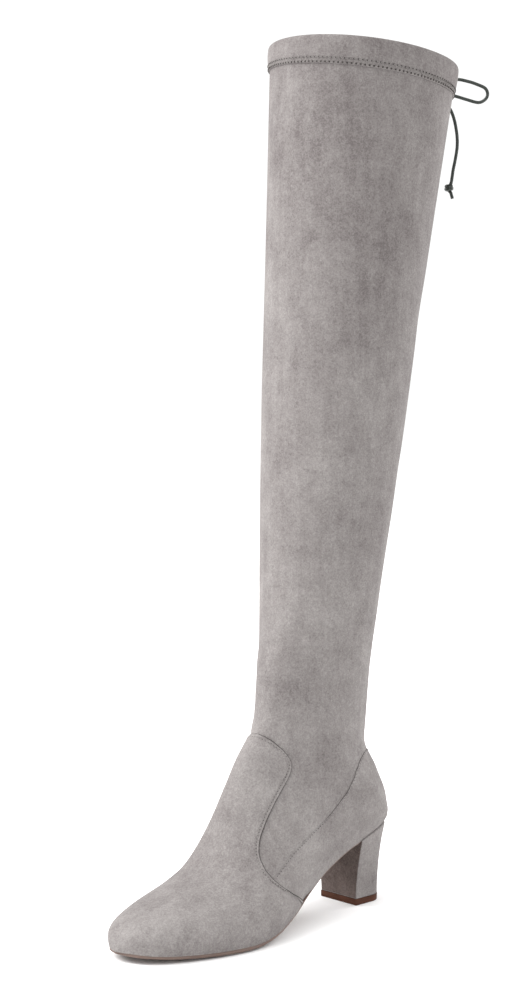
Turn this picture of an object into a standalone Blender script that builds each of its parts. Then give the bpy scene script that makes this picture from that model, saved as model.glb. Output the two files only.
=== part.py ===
"""Thigh high boot with a block heel, the left boot of a pair, as separate solids.

The origin is the centre of the heel's floor face. The toe points to -Y,
+X is the wearer's left (the outer side) and +Z is up. Sizes are in mm and
become metres when a solid is made. The foot and shaft are one form: a row of
slanted U-shaped sections, each running from the sole up over the instep or
shin, then closing behind the heel. Every wall, overlay and sole edge is taken
from that form.
"""
import bisect
import math
from typing import NamedTuple

import bmesh
import bpy
import numpy as np

# Foot and heel
LENGTH = 245.0
SEAT_REAR = 26.0
BALL_WIDTH = 69.5
ANKLE_WIDTH = 61.5
HEEL_SEAT = 54.0
INSTEP = 82.5
# Shaft
FRONT_HEIGHT = 599.5
BACK_HEIGHT = 579.5
COLLAR_WIDTH = 125.4
COLLAR_BACK = 52.0
COLLAR_FRONT = 54.0
SEAM_FOLLOW = 0.35
# Walls and overlays
WALL = 1.5
CLEAR = 0.3
OVERLAY_GAP = 0.5
OVERLAY = 1.0
HEM = 0.8
HEM_DEPTH = 19.0
HEM_LINING = 0.8
# Sole, insole and heel
SOLE = 3.8
SOLE_MARGIN = 0.4
SOLE_CROWN = 1.2
INSOLE = 1.8
TOP_PIECE = 4.6
TAP_WIDTH = 34.7
TAP_DEPTH = 27.6
TAP_CORNER = 11.0
HEEL_TURN = math.radians(4.5)
FLAT_JOINT = 0.1
# Drawcord, tied at the back of the collar
CORD = 2.4
KNOT_DROP = 8.5
KNOT_OUT = 3.45
KNOT_WIDTH = 7.4
BOW_LENGTH = 43.7
BOW_TURN = math.radians(35.4)
TAIL_DROP = 75.0
END_KNOT = 4.6


class Foot(NamedTuple):
    """One section of the foot, from the toe back to the rear of the seat.

    back: place of its sole point, share of LENGTH from the seat's rear
    lift: height of its sole point, share of the seat's height over the ball
    out, into: sole half widths to the outer and inner side, share of BALL_WIDTH
    ridge_back: place of its top point, share of LENGTH from the seat's rear
    rise: height of its top point over its sole point, share of INSTEP
    bulge_out, bulge_in: side beyond the sole line, share of half ANKLE_WIDTH
    widest: where the side stands furthest out, share of the section's height
    round: exponent of the arch over the top
    ridge: the top point's place to the outer side, share of BALL_WIDTH
    sole: thickness of the outsole, share of SOLE
    """

    name: str
    back: float
    lift: float
    out: float
    into: float
    ridge_back: float
    rise: float
    bulge_out: float
    bulge_in: float
    widest: float
    round: float
    ridge: float
    sole: float


class Shaft(NamedTuple):
    """One section of the shaft, from the heel's back seam over to the shin.

    back, front: heights on the back seam and the shin, share of the way from
        the last foot section to the collar
    back_y: place of the back, share of COLLAR_BACK behind the seat's rear
    front_y: place of the shin, share of the way from the last foot section to
        the collar's front
    width: share of the way from ANKLE_WIDTH to COLLAR_WIDTH
    centre: its middle to the outer side, share of half ANKLE_WIDTH
    widest: as for the foot
    """

    name: str
    back: float
    front: float
    back_y: float
    front_y: float
    width: float
    centre: float
    widest: float


FOOT = (
    Foot("tip", 1.000, 0.111, -0.222, 0.222, 1.000, 0.005, 0.00, 0.00, 0.50, 2.00, -0.222, 0.62),
    Foot("toe_a", 0.996, 0.079, -0.157, 0.272, 0.997, 0.080, 0.03, 0.03, 0.45, 2.10, -0.214, 0.63),
    Foot("toe_b", 0.984, 0.067, -0.035, 0.358, 0.984, 0.154, 0.05, 0.04, 0.42, 2.20, -0.207, 0.65),
    Foot("toe_c", 0.962, 0.050, 0.066, 0.430, 0.961, 0.212, 0.06, 0.05, 0.40, 2.25, -0.193, 0.68),
    Foot("toe_d", 0.930, 0.034, 0.167, 0.488, 0.925, 0.264, 0.07, 0.05, 0.38, 2.30, -0.186, 0.74),
    Foot("toe_e", 0.885, 0.020, 0.265, 0.538, 0.869, 0.315, 0.08, 0.06, 0.36, 2.30, -0.186, 0.84),
    Foot("toe_f", 0.825, 0.008, 0.360, 0.565, 0.800, 0.377, 0.09, 0.07, 0.34, 2.20, -0.186, 0.95),
    Foot("ball_a", 0.755, 0.000, 0.443, 0.551, 0.718, 0.459, 0.09, 0.08, 0.32, 2.10, -0.186, 1.00),
    Foot("ball", 0.680, 0.000, 0.498, 0.502, 0.661, 0.570, 0.10, 0.10, 0.30, 1.95, -0.186, 1.00),
    Foot("ball_b", 0.595, 0.052, 0.501, 0.436, 0.620, 0.726, 0.10, 0.15, 0.30, 1.85, -0.178, 0.80),
    Foot("waist_a", 0.505, 0.182, 0.440, 0.377, 0.584, 0.867, 0.12, 0.21, 0.32, 1.80, -0.171, 0.52),
    Foot("waist_b", 0.415, 0.404, 0.371, 0.352, 0.551, 0.952, 0.15, 0.26, 0.34, 1.80, -0.157, 0.42),
    Foot("arch", 0.325, 0.636, 0.338, 0.361, 0.522, 0.982, 0.18, 0.26, 0.34, 1.85, -0.142, 0.38),
    Foot("shank", 0.240, 0.808, 0.334, 0.345, 0.494, 1.000, 0.20, 0.27, 0.34, 1.90, -0.128, 0.38),
    Foot("breast", 0.180, 0.880, 0.322, 0.330, 0.478, 1.033, 0.23, 0.33, 0.36, 1.95, -0.115, 0.38),
    Foot("seat_a", 0.110, 0.940, 0.280, 0.288, 0.469, 1.085, 0.36, 0.47, 0.38, 2.00, -0.108, 0.38),
    Foot("seat_b", 0.052, 0.976, 0.216, 0.223, 0.463, 1.133, 0.53, 0.67, 0.40, 2.00, -0.102, 0.38),
    Foot("seat_c", 0.018, 0.992, 0.145, 0.148, 0.461, 1.182, 0.70, 0.88, 0.42, 2.00, -0.097, 0.38),
    Foot("rear", 0.000, 1.000, 0.000, 0.000, 0.457, 1.263, 0.97, 1.26, 0.46, 2.00, -0.092, 0.38),
)
SHAFT = (
    Shaft("heel_a", 0.017, 0.010, 0.044, 0.022, 0.094, -0.200, 0.52),
    Shaft("heel_b", 0.059, 0.034, -0.148, 0.078, 0.027, -0.218, 0.54),
    Shaft("ankle", 0.112, 0.067, -0.400, 0.203, 0.000, -0.242, 0.56),
    Shaft("ankle_top", 0.189, 0.122, -0.390, 0.375, 0.106, -0.249, 0.56),
    Shaft("calf_a", 0.316, 0.231, -0.262, 0.497, 0.308, -0.224, 0.53),
    Shaft("calf_b", 0.498, 0.409, 0.023, 0.622, 0.551, -0.190, 0.50),
    Shaft("knee", 0.707, 0.632, 0.377, 0.797, 0.743, -0.156, 0.50),
    Shaft("collar", 1.000, 1.000, 1.000, 1.000, 1.000, -0.107, 0.50),
)
REAR = float(len(FOOT) - 1)
TOP = float(len(FOOT) + len(SHAFT) - 1)


def named_row(name):
    """Returns the number of the named section, counted from the toe."""
    return float([row.name for row in FOOT + SHAFT].index(name))


def section_table():
    """Works the sections out in mm.

    Columns: sole y, sole z, outer and inner sole half width, top y, top z,
    outer and inner widest half width, widest share, exponent, ridge x,
    middle of the sole line x.
    """
    base = SOLE + CLEAR
    half_ankle = ANKLE_WIDTH / 2.0
    rows = []
    for f in FOOT:
        sole_z = base + f.lift * (HEEL_SEAT - base)
        out, into = f.out * BALL_WIDTH, f.into * BALL_WIDTH
        rows.append((SEAT_REAR - f.back * LENGTH, sole_z, out, into,
                     SEAT_REAR - f.ridge_back * LENGTH, sole_z + f.rise * INSTEP,
                     out + f.bulge_out * half_ankle, into + f.bulge_in * half_ankle,
                     f.widest, f.round, f.ridge * BALL_WIDTH, (out - into) / 2.0))
    shin_y, shin_z = rows[-1][4], rows[-1][5]
    for s in SHAFT:
        half = half_ankle + s.width * (COLLAR_WIDTH - ANKLE_WIDTH) / 2.0
        centre = s.centre * half_ankle
        rows.append((SEAT_REAR + s.back_y * COLLAR_BACK,
                     HEEL_SEAT + s.back * (BACK_HEIGHT - HEEL_SEAT), 0.0, 0.0,
                     shin_y + s.front_y * (-COLLAR_FRONT - shin_y),
                     shin_z + s.front * (FRONT_HEIGHT - shin_z),
                     half + centre, half - centre, s.widest, 2.0, centre,
                     SEAM_FOLLOW * centre))
    return np.array(rows)


SECTIONS = section_table()


def monotone(values, at):
    """Interpolates table rows without overshoot.

    Args:
        values: table with one row per section.
        at: row numbers, which may fall between sections.

    Returns:
        One interpolated row for each entry of at.
    """
    steps = np.diff(values, axis=0)
    slopes = np.zeros_like(values)
    slopes[0], slopes[-1] = steps[0], steps[-1]
    same = steps[:-1] * steps[1:] > 0.0
    most = 3.0 * np.minimum(np.abs(steps[:-1]), np.abs(steps[1:]))
    mean = (steps[:-1] + steps[1:]) / 2.0
    slopes[1:-1] = np.where(same, np.clip(mean, -most, most), 0.0)
    at = np.clip(np.atleast_1d(at), 0.0, len(values) - 1.0)
    low = np.clip(np.floor(at).astype(int), 0, len(values) - 2)
    u = (at - low)[:, None]
    u2, u3 = u * u, u * u * u
    return ((2 * u3 - 3 * u2 + 1) * values[low] + (u3 - 2 * u2 + u) * slopes[low]
            + (3 * u2 - 2 * u3) * values[low + 1] + (u3 - u2) * slopes[low + 1])


def skin(at, around):
    """Points of the last's surface.

    Args:
        at: section numbers, fractions between two sections.
        around: place on the section, 0 on the ridge or shin, 1 at the outer
            and -1 at the inner end, on the sole line or the back seam.

    Returns:
        An array of points in mm.
    """
    q = monotone(SECTIONS, at)
    (sole_y, sole_z, out, into, top_y, top_z, wide_out, wide_in, widest, power,
     ridge, middle) = q.T
    around = np.asarray(around, float)
    side = np.where(around >= 0.0, 1.0, -1.0)
    half = np.maximum((out + into) / 2.0, 0.0)
    wide = np.maximum((wide_out + wide_in) / 2.0, half + 0.001)
    wide_mid = (wide_out - wide_in) / 2.0
    height = np.hypot(top_y - sole_y, top_z - sole_z)
    lower = widest * height + wide - half
    upper = 1.15 * np.hypot((1.0 - widest) * height, wide)
    turn = upper / (upper + lower)
    a = np.abs(around)
    arch = np.clip(1.0 - a / turn, 0.0, 1.0) * math.pi / 2.0
    fall = np.clip((a - turn) / (1.0 - turn), 0.0, 1.0) * math.pi / 2.0
    above = a <= turn
    share = np.where(above, widest + (1.0 - widest) * np.sin(arch) ** (2.0 / power),
                     widest * (1.0 - np.sin(fall)))
    width = np.where(above, wide * np.cos(arch) ** (2.0 / power),
                     np.sqrt(wide ** 2 - (wide ** 2 - half ** 2) * np.sin(fall) ** 2))
    low = np.clip(share / widest, 0.0, 1.0)
    high = np.clip((share - widest) / (1.0 - widest), 0.0, 1.0)
    high = high * high * (3.0 - 2.0 * high)
    centre = np.where(share < widest, middle * (1.0 - low) + wide_mid * low,
                      wide_mid * (1.0 - high) + ridge * high)
    return np.stack([centre + side * width, sole_y + (top_y - sole_y) * share,
                     sole_z + (top_z - sole_z) * share], axis=-1)


def outward(at, around):
    """Unit normals of the last's surface at the given places."""
    at = np.asarray(at, float)
    around = np.asarray(around, float)
    step = 0.04
    along = skin(np.minimum(at + step, TOP), around) - skin(np.maximum(at - step, 0.02), around)
    turn = skin(at, np.minimum(around + step / 2, 1.0)) - skin(at, np.maximum(around - step / 2, -1.0))
    n = np.cross(turn, along)
    seam = (at >= REAR - 1e-9) & (np.abs(around) >= 1.0 - 1e-9)
    n[seam, 0] = 0.0
    toe = at < 0.05
    n[toe] = (0.0, -1.0, 0.0)
    return n / np.linalg.norm(n, axis=1)[:, None]


def smooth(value, low, high):
    """Smooth step from 0 at low to 1 at high."""
    u = np.clip((value - low) / (high - low), 0.0, 1.0)
    return u * u * (3.0 - 2.0 * u)


def drop(points):
    """How far the upper stands inside the form where an overlay lies on it."""
    vamp = 1.0 - smooth(points[:, 1], SEAT_REAR - 0.52 * LENGTH, SEAT_REAR - 0.33 * LENGTH)
    heel = 1.0 - smooth(points[:, 2], HEEL_SEAT + 0.56 * INSTEP, HEEL_SEAT + INSTEP)
    return (OVERLAY_GAP + OVERLAY) * (vamp + heel - vamp * heel)


def skin_off(at, around, off):
    """Points off the upper's outer face.

    Args:
        at, around: places on the form.
        off: distance in mm, outward positive.

    Returns:
        An array of points. Round the small toe they are drawn in towards the
        toe's middle, so that inner faces never fold.
    """
    at = np.asarray(at, float)
    points = skin(at, around)
    inward = (drop(points) - off)[:, None]
    straight = points - outward(at, around) * inward
    toe = skin(np.array([named_row("toe_c")]), np.array([0.0]))[0]
    reach = 0.059 * LENGTH
    anchor = np.array([toe[0], SEAT_REAR - LENGTH + reach, SECTIONS[3][1] + 0.085 * INSTEP])
    drawn = anchor + (points - anchor) * (1.0 - inward / np.array([reach, reach, 0.085 * INSTEP]))
    weight = (1.0 - smooth(at, 1.0, 3.0))[:, None]
    return drawn * weight + straight * (1.0 - weight)


class Sheet:
    """A patch of the form: welded places (section, around) and its faces."""

    def __init__(self):
        self.places = []
        self.index = {}
        self.faces = []

    def place(self, at, around):
        """Returns the number of a place, welded at the toe and the back seam."""
        at = min(max(at, 0.0), TOP)
        if at < 1e-6:
            at, around = 0.0, 0.0
        if at >= REAR - 1e-6 and abs(around) > 1.0 - 1e-6:
            around = 1.0
        key = (round(at, 4), round(around, 4))
        if key not in self.index:
            self.index[key] = len(self.places)
            self.places.append((at, around))
        return self.index[key]

    def grid(self, rows):
        """Adds faces between neighbouring rows of places."""
        marks = [[self.place(*spot) for spot in row] for row in rows]
        for one, two in zip(marks, marks[1:]):
            for j in range(len(one) - 1):
                face = []
                for v in (one[j], one[j + 1], two[j + 1], two[j]):
                    if v not in face:
                        face.append(v)
                if len(face) > 2:
                    self.faces.append(face)

    def solid(self, outer, inner):
        """Thickens the sheet between two point sets.

        Args:
            outer, inner: points for every place, in mm.

        Returns:
            Vertices and faces of a closed solid.
        """
        n = len(self.places)
        edges = {}
        for face in self.faces:
            for a, b in zip(face, face[1:] + face[:1]):
                edges[(a, b)] = edges.get((a, b), 0) + 1
        faces = [list(f) for f in self.faces] + [[v + n for v in reversed(f)] for f in self.faces]
        for a, b in edges:
            if (b, a) not in edges:
                faces.append([b, a, a + n, b + n])
        return list(map(tuple, outer)) + list(map(tuple, inner)), faces

    def arrays(self):
        """Returns the places as two arrays."""
        spots = np.array(self.places)
        return spots[:, 0], spots[:, 1]


def steps(low, high, size):
    """Even steps from low to high, none longer than size."""
    count = max(1, math.ceil((high - low) / size - 1e-6))
    return [low + (high - low) * i / count for i in range(count + 1)]


COLUMNS = [j / 12.0 for j in range(-12, 13)]
FOOT_ROWS = (steps(0.0, 3.0, 0.5) + steps(3.0, named_row("ball"), 0.72)[1:]
             + steps(named_row("ball"), named_row("breast"), 0.5)[1:]
             + steps(named_row("breast"), named_row("seat_b"), 0.4)[1:]
             + steps(named_row("seat_b"), REAR, 0.29)[1:])
SHAFT_ROWS = (steps(REAR, named_row("heel_b"), 0.34)[1:]
              + steps(named_row("heel_b"), named_row("ankle_top") + 0.5, 0.25)[1:]
              + steps(named_row("ankle_top") + 0.5, TOP, 0.5)[1:])
ROW_SPAN = float(np.linalg.norm(skin([TOP], [0.5])[0] - skin([TOP - 1.0], [0.5])[0]))


class Edge(NamedTuple):
    """One point of an overlay's edge: section number and place around."""

    at: float
    around: float


# The vamp's tongue up to the instep, and its flare down to the sole
TONGUE = (
    Edge(9.22, 0.490), Edge(9.30, 0.430), Edge(9.50, 0.388), Edge(9.85, 0.362),
    Edge(10.40, 0.352), Edge(11.15, 0.355), Edge(11.90, 0.360), Edge(12.60, 0.355),
    Edge(13.00, 0.340), Edge(13.30, 0.308), Edge(13.48, 0.250), Edge(13.55, 0.180),
)
FLARE = (
    Edge(9.22, 0.490), Edge(9.30, 0.575), Edge(9.60, 0.685), Edge(10.05, 0.790),
    Edge(10.45, 0.900), Edge(10.70, 1.000),
)
# The counter's upper seam, from the flare round to the back seam
COUNTER_SEAM = (
    Edge(9.30, 0.556), Edge(10.50, 0.578), Edge(11.50, 0.622), Edge(12.50, 0.646),
    Edge(13.50, 0.636), Edge(14.50, 0.607), Edge(15.50, 0.561), Edge(16.50, 0.520),
    Edge(17.30, 0.498), Edge(18.00, 0.486), Edge(18.50, 0.484), Edge(19.00, 0.498),
    Edge(19.50, 0.534), Edge(20.00, 0.600), Edge(20.25, 0.647), Edge(20.50, 0.713),
    Edge(20.75, 0.813), Edge(20.90, 0.902), Edge(21.00, 0.985),
)
COUNTER_GAP = 0.05


def interpolate(x, xs, ys):
    """Straight interpolation in a rising list."""
    i = min(max(bisect.bisect_right(xs, x), 1), len(xs) - 1)
    u = min(max((x - xs[i - 1]) / (xs[i] - xs[i - 1]), 0.0), 1.0)
    return ys[i - 1] + (ys[i] - ys[i - 1]) * u


def around_of(edge, at):
    """Place around at which an edge crosses a section."""
    return interpolate(at, [e.at for e in edge], [e.around for e in edge])


def at_of(edge, around):
    """Section at which an edge crosses a place around."""
    return interpolate(around, [e.around for e in edge], [e.at for e in edge])


def upper():
    """Foot and shaft in one wall, open at the collar and underneath."""
    end = TOP - (HEM + CLEAR) / ROW_SPAN
    sheet = Sheet()
    sheet.grid([[(t, c) for c in COLUMNS] for t in FOOT_ROWS + SHAFT_ROWS[:-1] + [end]])
    at, around = sheet.arrays()
    return sheet.solid(skin_off(at, around, 0.0), skin_off(at, around, -WALL))


def vamp():
    """Overlay from the toe to the rounded wings, down to the sole."""
    root = FLARE[0]
    split = sorted(COLUMNS + [root.around, -root.around])
    sheet = Sheet()
    sheet.grid([[(t, c) for c in split] for t in FOOT_ROWS if t < root.at - 0.1] + [[(root.at, c) for c in split]])
    rises = sorted([t for t in FOOT_ROWS if root.at + 0.1 < t < TONGUE[-1].at - 0.3]
                   + [e.at for e in TONGUE if e.at < root.at + 0.5 or e.at > TONGUE[-1].at - 0.4])
    middle = [c for c in split if abs(c) <= root.around]
    sheet.grid([[(t, max(-around_of(TONGUE, t), min(around_of(TONGUE, t), c))) for c in middle] for t in rises])
    for side in (1.0, -1.0):
        flank = [c for c in split if side * c >= root.around]
        sheet.grid([[(root.at + (at_of(FLARE, abs(c)) - root.at) * u, c) for c in flank]
                    for u in (0.0, 0.33, 0.67, 1.0)])
    at, around = sheet.arrays()
    return sheet.solid(skin_off(at, around, OVERLAY_GAP + OVERLAY), skin_off(at, around, OVERLAY_GAP))


def counter():
    """Heel overlay from its curved seam down to the sole, round the back."""
    sheet = Sheet()
    first = COUNTER_SEAM[0]
    rows = [t for t in FOOT_ROWS + SHAFT_ROWS if FLARE[-1].at + 0.2 < t < COUNTER_SEAM[-3].at - 0.1]
    rows += [e.at for e in COUNTER_SEAM[-3:]]
    columns = [c for c in COLUMNS if c > 0.4]
    front = [(at_of(FLARE, max(c, first.around)) + COUNTER_GAP, max(c, first.around)) for c in columns]
    for side in (1.0, -1.0):
        lines = []
        for u in (0.0, 0.3, 0.65):
            eased = [(t + (rows[0] - t) * u, c) for t, c in front]
            lines.append([(t, max(c, around_of(COUNTER_SEAM, t))) for t, c in eased])
        lines += [[(t, max(c, around_of(COUNTER_SEAM, t))) for c in columns] for t in rows]
        marked = [[(t, side * c) for t, c in line] for line in lines]
        if side < 0.0:
            marked = [list(reversed(line)) for line in marked]
        sheet.grid(marked)
    at, around = sheet.arrays()
    return sheet.solid(skin_off(at, around, OVERLAY_GAP + OVERLAY), skin_off(at, around, OVERLAY_GAP))


def top_band():
    """Folded hem over the collar's edge, a ring with a U section."""
    over = 0.5
    low = TOP - HEM_DEPTH / ROW_SPAN
    cap = TOP - HEM / ROW_SPAN
    outer, inner = CLEAR + HEM, -WALL - CLEAR - HEM_LINING
    profile = [(low, CLEAR), (low, outer), (TOP - over / ROW_SPAN, outer), (TOP, outer - over),
               (TOP, inner + over), (TOP - over / ROW_SPAN, inner), (low, inner),
               (low, -WALL - CLEAR), (cap, -WALL - CLEAR), (cap, CLEAR)]
    columns = np.array(COLUMNS[1:])
    points = []
    for at, off in profile:
        points += list(map(tuple, skin_off(np.full(len(columns), at), columns, off)))
    return points, ring_faces(len(profile), len(columns), True)


def ring_faces(rings, size, closed):
    """Quads between rings of equal size.

    Args:
        rings: how many rings there are.
        size: points on each.
        closed: whether the last ring joins the first one.
    """
    faces = []
    for i in range(rings if closed else rings - 1):
        k = (i + 1) % rings
        for j in range(size):
            m = (j + 1) % size
            faces.append([i * size + j, i * size + m, k * size + m, k * size + j])
    return faces


def edge_pair(at, inset, low):
    """Points of the sole line on both sides of a section.

    Args:
        at: section number.
        inset: distance inward in plan.
        low: distance below the sole line.

    Returns:
        The outer and the inner point.
    """
    step = 0.05
    pair = []
    for side in (1.0, -1.0):
        here = skin([at], [side])[0]
        ahead = skin([min(at + step, REAR)], [side])[0] - skin([max(at - step, 0.0)], [side])[0]
        n = np.array([ahead[1], -ahead[0], 0.0]) * side
        n /= np.linalg.norm(n)
        if at < 1e-6:
            n = np.array([0.0, -1.0, 0.0])
        if at > REAR - 1e-6:
            n = np.array([0.0, 1.0, 0.0])
        pair.append(here - n * inset - np.array([0.0, 0.0, low]))
    return pair


def slab(rows):
    """A closed solid from rows of points that all have the same count.

    Args:
        rows: cross sections, each a closed loop of points.

    Returns:
        Vertices and faces; the first and last loop are closed flat.
    """
    size = len(rows[0])
    points = [tuple(p) for row in rows for p in row]
    faces = ring_faces(len(rows), size, False)
    faces.append(list(range(size)))
    faces.append([(len(rows) - 1) * size + j for j in reversed(range(size))])
    return points, faces


def outsole():
    """Sole with toe spring, flat ball, crowned edges and a thin waist."""
    rows = []
    thick = np.array([[f.sole * SOLE] for f in FOOT])
    for at in steps(0.0, 3.0, 0.34)[1:] + steps(3.0, named_row("breast"), 0.5)[1:]:
        out, into = edge_pair(at, -SOLE_MARGIN if at < 9.0 else -SOLE_MARGIN * 0.3, CLEAR)
        depth = float(monotone(thick, at)[0, 0])
        floor = max(0.0, out[2] - depth)
        across = []
        for share, crown in ((1.0, 1.0), (0.88, 0.2), (0.6, 0.0), (-0.6, 0.0), (-0.88, 0.2), (-1.0, 1.0)):
            p = (out + into) / 2.0 + (out - into) / 2.0 * share
            p[2] = floor + min(SOLE_CROWN, 0.3 * depth) * crown
            across.append(p)
        rows.append([out, into] + across[::-1])
    tip, _ = edge_pair(0.0, -SOLE_MARGIN, CLEAR)
    depth = float(thick[0, 0])
    start = rows[0]
    z0 = start[0][2]
    low = start[2][2]
    points = [tuple(p) for row in rows for p in row]
    size = len(start)
    faces = ring_faces(len(rows), size, False)
    faces.append([(len(rows) - 1) * size + j for j in reversed(range(size))])
    high_tip, low_tip = len(points), len(points) + 1
    points += [(tip[0], tip[1], z0 + 0.25), (tip[0], tip[1], low + 0.25)]
    faces.append([high_tip, 1, 0])
    faces.append([0, size - 1, low_tip, high_tip])
    faces.append([high_tip, low_tip, 2, 1])
    for j in range(2, size - 1):
        faces.append([low_tip, j + 1, j])
    return points, faces


def insole():
    """Board that lies on the sole inside the upper."""
    inset = OVERLAY_GAP + OVERLAY + WALL + CLEAR + 0.3
    rows = []
    for at in steps(2.7, REAR - 0.6, 0.6):
        out, into = edge_pair(at, inset, 0.0)
        rows.append([out, into, into + (0.0, 0.0, INSOLE), out + (0.0, 0.0, INSOLE)])
    return slab(rows)


def heel_outline(count):
    """The heel's floor outline: straight breast and sides, rounded rear.

    Args:
        count: points from the outer breast corner round the rear to the inner.

    Returns:
        Plan points in mm.
    """
    half, deep, r = TAP_WIDTH / 2.0, TAP_DEPTH / 2.0, TAP_CORNER
    path = [(half, -deep), (half, deep - r)]
    path += [(half - r + r * math.cos(math.radians(a)), deep - r + r * math.sin(math.radians(a)))
             for a in range(10, 91, 10)]
    path += [(-x, y) for x, y in reversed(path)]
    return [(x * math.cos(HEEL_TURN) - y * math.sin(-HEEL_TURN), x * math.sin(-HEEL_TURN) + y * math.cos(HEEL_TURN))
            for x, y in resample(path, count)]


def resample(path, count):
    """Even points along an open path."""
    path = [np.array(p, float) for p in path]
    lengths = [0.0]
    for a, b in zip(path, path[1:]):
        lengths.append(lengths[-1] + float(np.linalg.norm(b - a)))
    out = []
    for i in range(count):
        want = lengths[-1] * i / (count - 1)
        k = min(max(bisect.bisect_right(lengths, want), 1), len(path) - 1)
        u = (want - lengths[k - 1]) / max(lengths[k] - lengths[k - 1], 1e-9)
        out.append(tuple(path[k - 1] + (path[k] - path[k - 1]) * u))
    return out


HEEL_POINTS = 21


def seat_outline():
    """The heel's top outline, under the seat, from the breast round the rear."""
    at_list = steps(named_row("breast") + 0.02, REAR, 0.25)
    pairs = [edge_pair(at, 0.4, CLEAR) for at in at_list]
    path = [p[0] for p in pairs] + [p[1] for p in reversed(pairs[:-1])]
    return resample(path, HEEL_POINTS)


def cross_face(ring, size, flip):
    """Faces that close a ring across, point by point."""
    faces = []
    for j in range(size // 2):
        k = size - 1 - j
        face = [ring + j, ring + j + 1, ring + k - 1, ring + k]
        face = [v for i, v in enumerate(face) if v not in face[:i]]
        if len(face) > 2:
            faces.append(face[::-1] if flip else face)
    return faces


def heel_block():
    """Covered block from the seat down to the top piece."""
    top = [np.array(p) for p in seat_outline()]
    low = [np.array((x, y, TOP_PIECE + FLAT_JOINT)) for x, y in heel_outline(HEEL_POINTS)]
    rings = []
    for share in (0.0, 0.1, 0.22, 0.36, 0.52, 0.7, 0.85, 1.0):
        ease = 1.0 - (1.0 - share) ** 1.8
        ring = []
        for a, b in zip(top, low):
            p = a + (b - a) * ease
            p[2] = a[2] + (b[2] - a[2]) * share
            ring.append(p)
        rings.append(ring)
    points = [tuple(p) for ring in rings for p in ring]
    faces = ring_faces(len(rings), HEEL_POINTS, False)
    faces += cross_face(0, HEEL_POINTS, False)
    faces += cross_face((len(rings) - 1) * HEEL_POINTS, HEEL_POINTS, True)
    return points, faces


def top_piece():
    """Wear piece, flat on the floor."""
    plan = heel_outline(HEEL_POINTS)
    points = [(x, y, z) for z in (TOP_PIECE, 0.0) for x, y in plan]
    faces = ring_faces(2, HEEL_POINTS, False)
    faces.append(list(range(HEEL_POINTS)))
    faces.append([HEEL_POINTS + j for j in reversed(range(HEEL_POINTS))])
    return points, faces


def tube(path, radii, sides=8):
    """A round cord along points.

    Args:
        path: points in mm.
        radii: the radius at each.
        sides: points on each ring.

    Returns:
        Vertices and faces of the closed tube.
    """
    path = [np.array(p, float) for p in path]
    points = []
    frame = None
    for i, p in enumerate(path):
        ahead = path[min(i + 1, len(path) - 1)] - path[max(i - 1, 0)]
        ahead /= np.linalg.norm(ahead)
        if frame is None:
            frame = np.cross(ahead, (0.3, 0.2, 0.9))
        frame = frame - ahead * float(np.dot(frame, ahead))
        frame /= np.linalg.norm(frame)
        side = np.cross(ahead, frame)
        for k in range(sides):
            a = 2.0 * math.pi * k / sides
            points.append(tuple(p + (frame * math.cos(a) + side * math.sin(a)) * radii[i]))
    faces = ring_faces(len(path), sides, False)
    faces.append(list(range(sides)))
    faces.append([(len(path) - 1) * sides + k for k in reversed(range(sides))])
    return points, faces


def curve(points, per):
    """Smooth path through points, with per steps between neighbours."""
    p = [np.array(q, float) for q in points]
    p = [2 * p[0] - p[1]] + p + [2 * p[-1] - p[-2]]
    out = []
    for i in range(1, len(p) - 2):
        for k in range(per):
            u = k / per
            out.append(0.5 * (2 * p[i] + (p[i + 1] - p[i - 1]) * u
                              + (2 * p[i - 1] - 5 * p[i] + 4 * p[i + 1] - p[i + 2]) * u * u
                              + (3 * p[i] - p[i - 1] - 3 * p[i + 1] + p[i + 2]) * u ** 3))
    out.append(p[-2])
    return out


class BowPoint(NamedTuple):
    """A point of a loop: out from the knot and up, shares of BOW_LENGTH."""

    out: float
    up: float


class TailPoint(NamedTuple):
    """A point of a cord end, shares of TAIL_DROP from the knot.

    side, back, down: place outward to its side, behind and below the knot
    knot: how far the cord swells there, share of the end knot's size
    """

    side: float
    back: float
    down: float
    knot: float


LOOP = (
    BowPoint(0.066, 0.066), BowPoint(0.125, 0.113), BowPoint(0.261, 0.158), BowPoint(0.470, 0.217),
    BowPoint(0.678, 0.181), BowPoint(0.832, 0.128), BowPoint(0.956, 0.066), BowPoint(0.995, -0.025),
    BowPoint(0.957, -0.111), BowPoint(0.846, -0.161), BowPoint(0.664, -0.114), BowPoint(0.518, -0.068),
    BowPoint(0.400, -0.036), BowPoint(0.260, -0.018), BowPoint(0.150, -0.004), BowPoint(0.093, 0.000),
)
TAIL = (
    TailPoint(0.033, 0.016, 0.040, 0.0), TailPoint(0.062, 0.031, 0.070, 0.0),
    TailPoint(0.120, 0.055, 0.095, 0.0), TailPoint(0.175, 0.082, 0.124, 0.0),
    TailPoint(0.211, 0.099, 0.162, 0.0), TailPoint(0.239, 0.126, 0.262, 0.0),
    TailPoint(0.251, 0.152, 0.400, 0.0), TailPoint(0.247, 0.162, 0.512, 0.0),
    TailPoint(0.225, 0.162, 0.634, 0.0), TailPoint(0.203, 0.160, 0.729, 0.0),
    TailPoint(0.189, 0.152, 0.840, 0.0), TailPoint(0.175, 0.152, 0.868, 0.8),
    TailPoint(0.162, 0.152, 0.897, 1.0), TailPoint(0.165, 0.154, 0.926, 0.7),
    TailPoint(0.180, 0.157, 0.945, 0.0), TailPoint(0.193, 0.166, 1.000, 0.0),
)


def knot_place():
    """Middle of the drawcord's knot, behind the band at the back seam."""
    centre = SEAM_FOLLOW * SHAFT[-1].centre * ANKLE_WIDTH / 2.0
    return np.array([centre, SEAT_REAR + COLLAR_BACK + KNOT_OUT, BACK_HEIGHT - KNOT_DROP])


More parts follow.
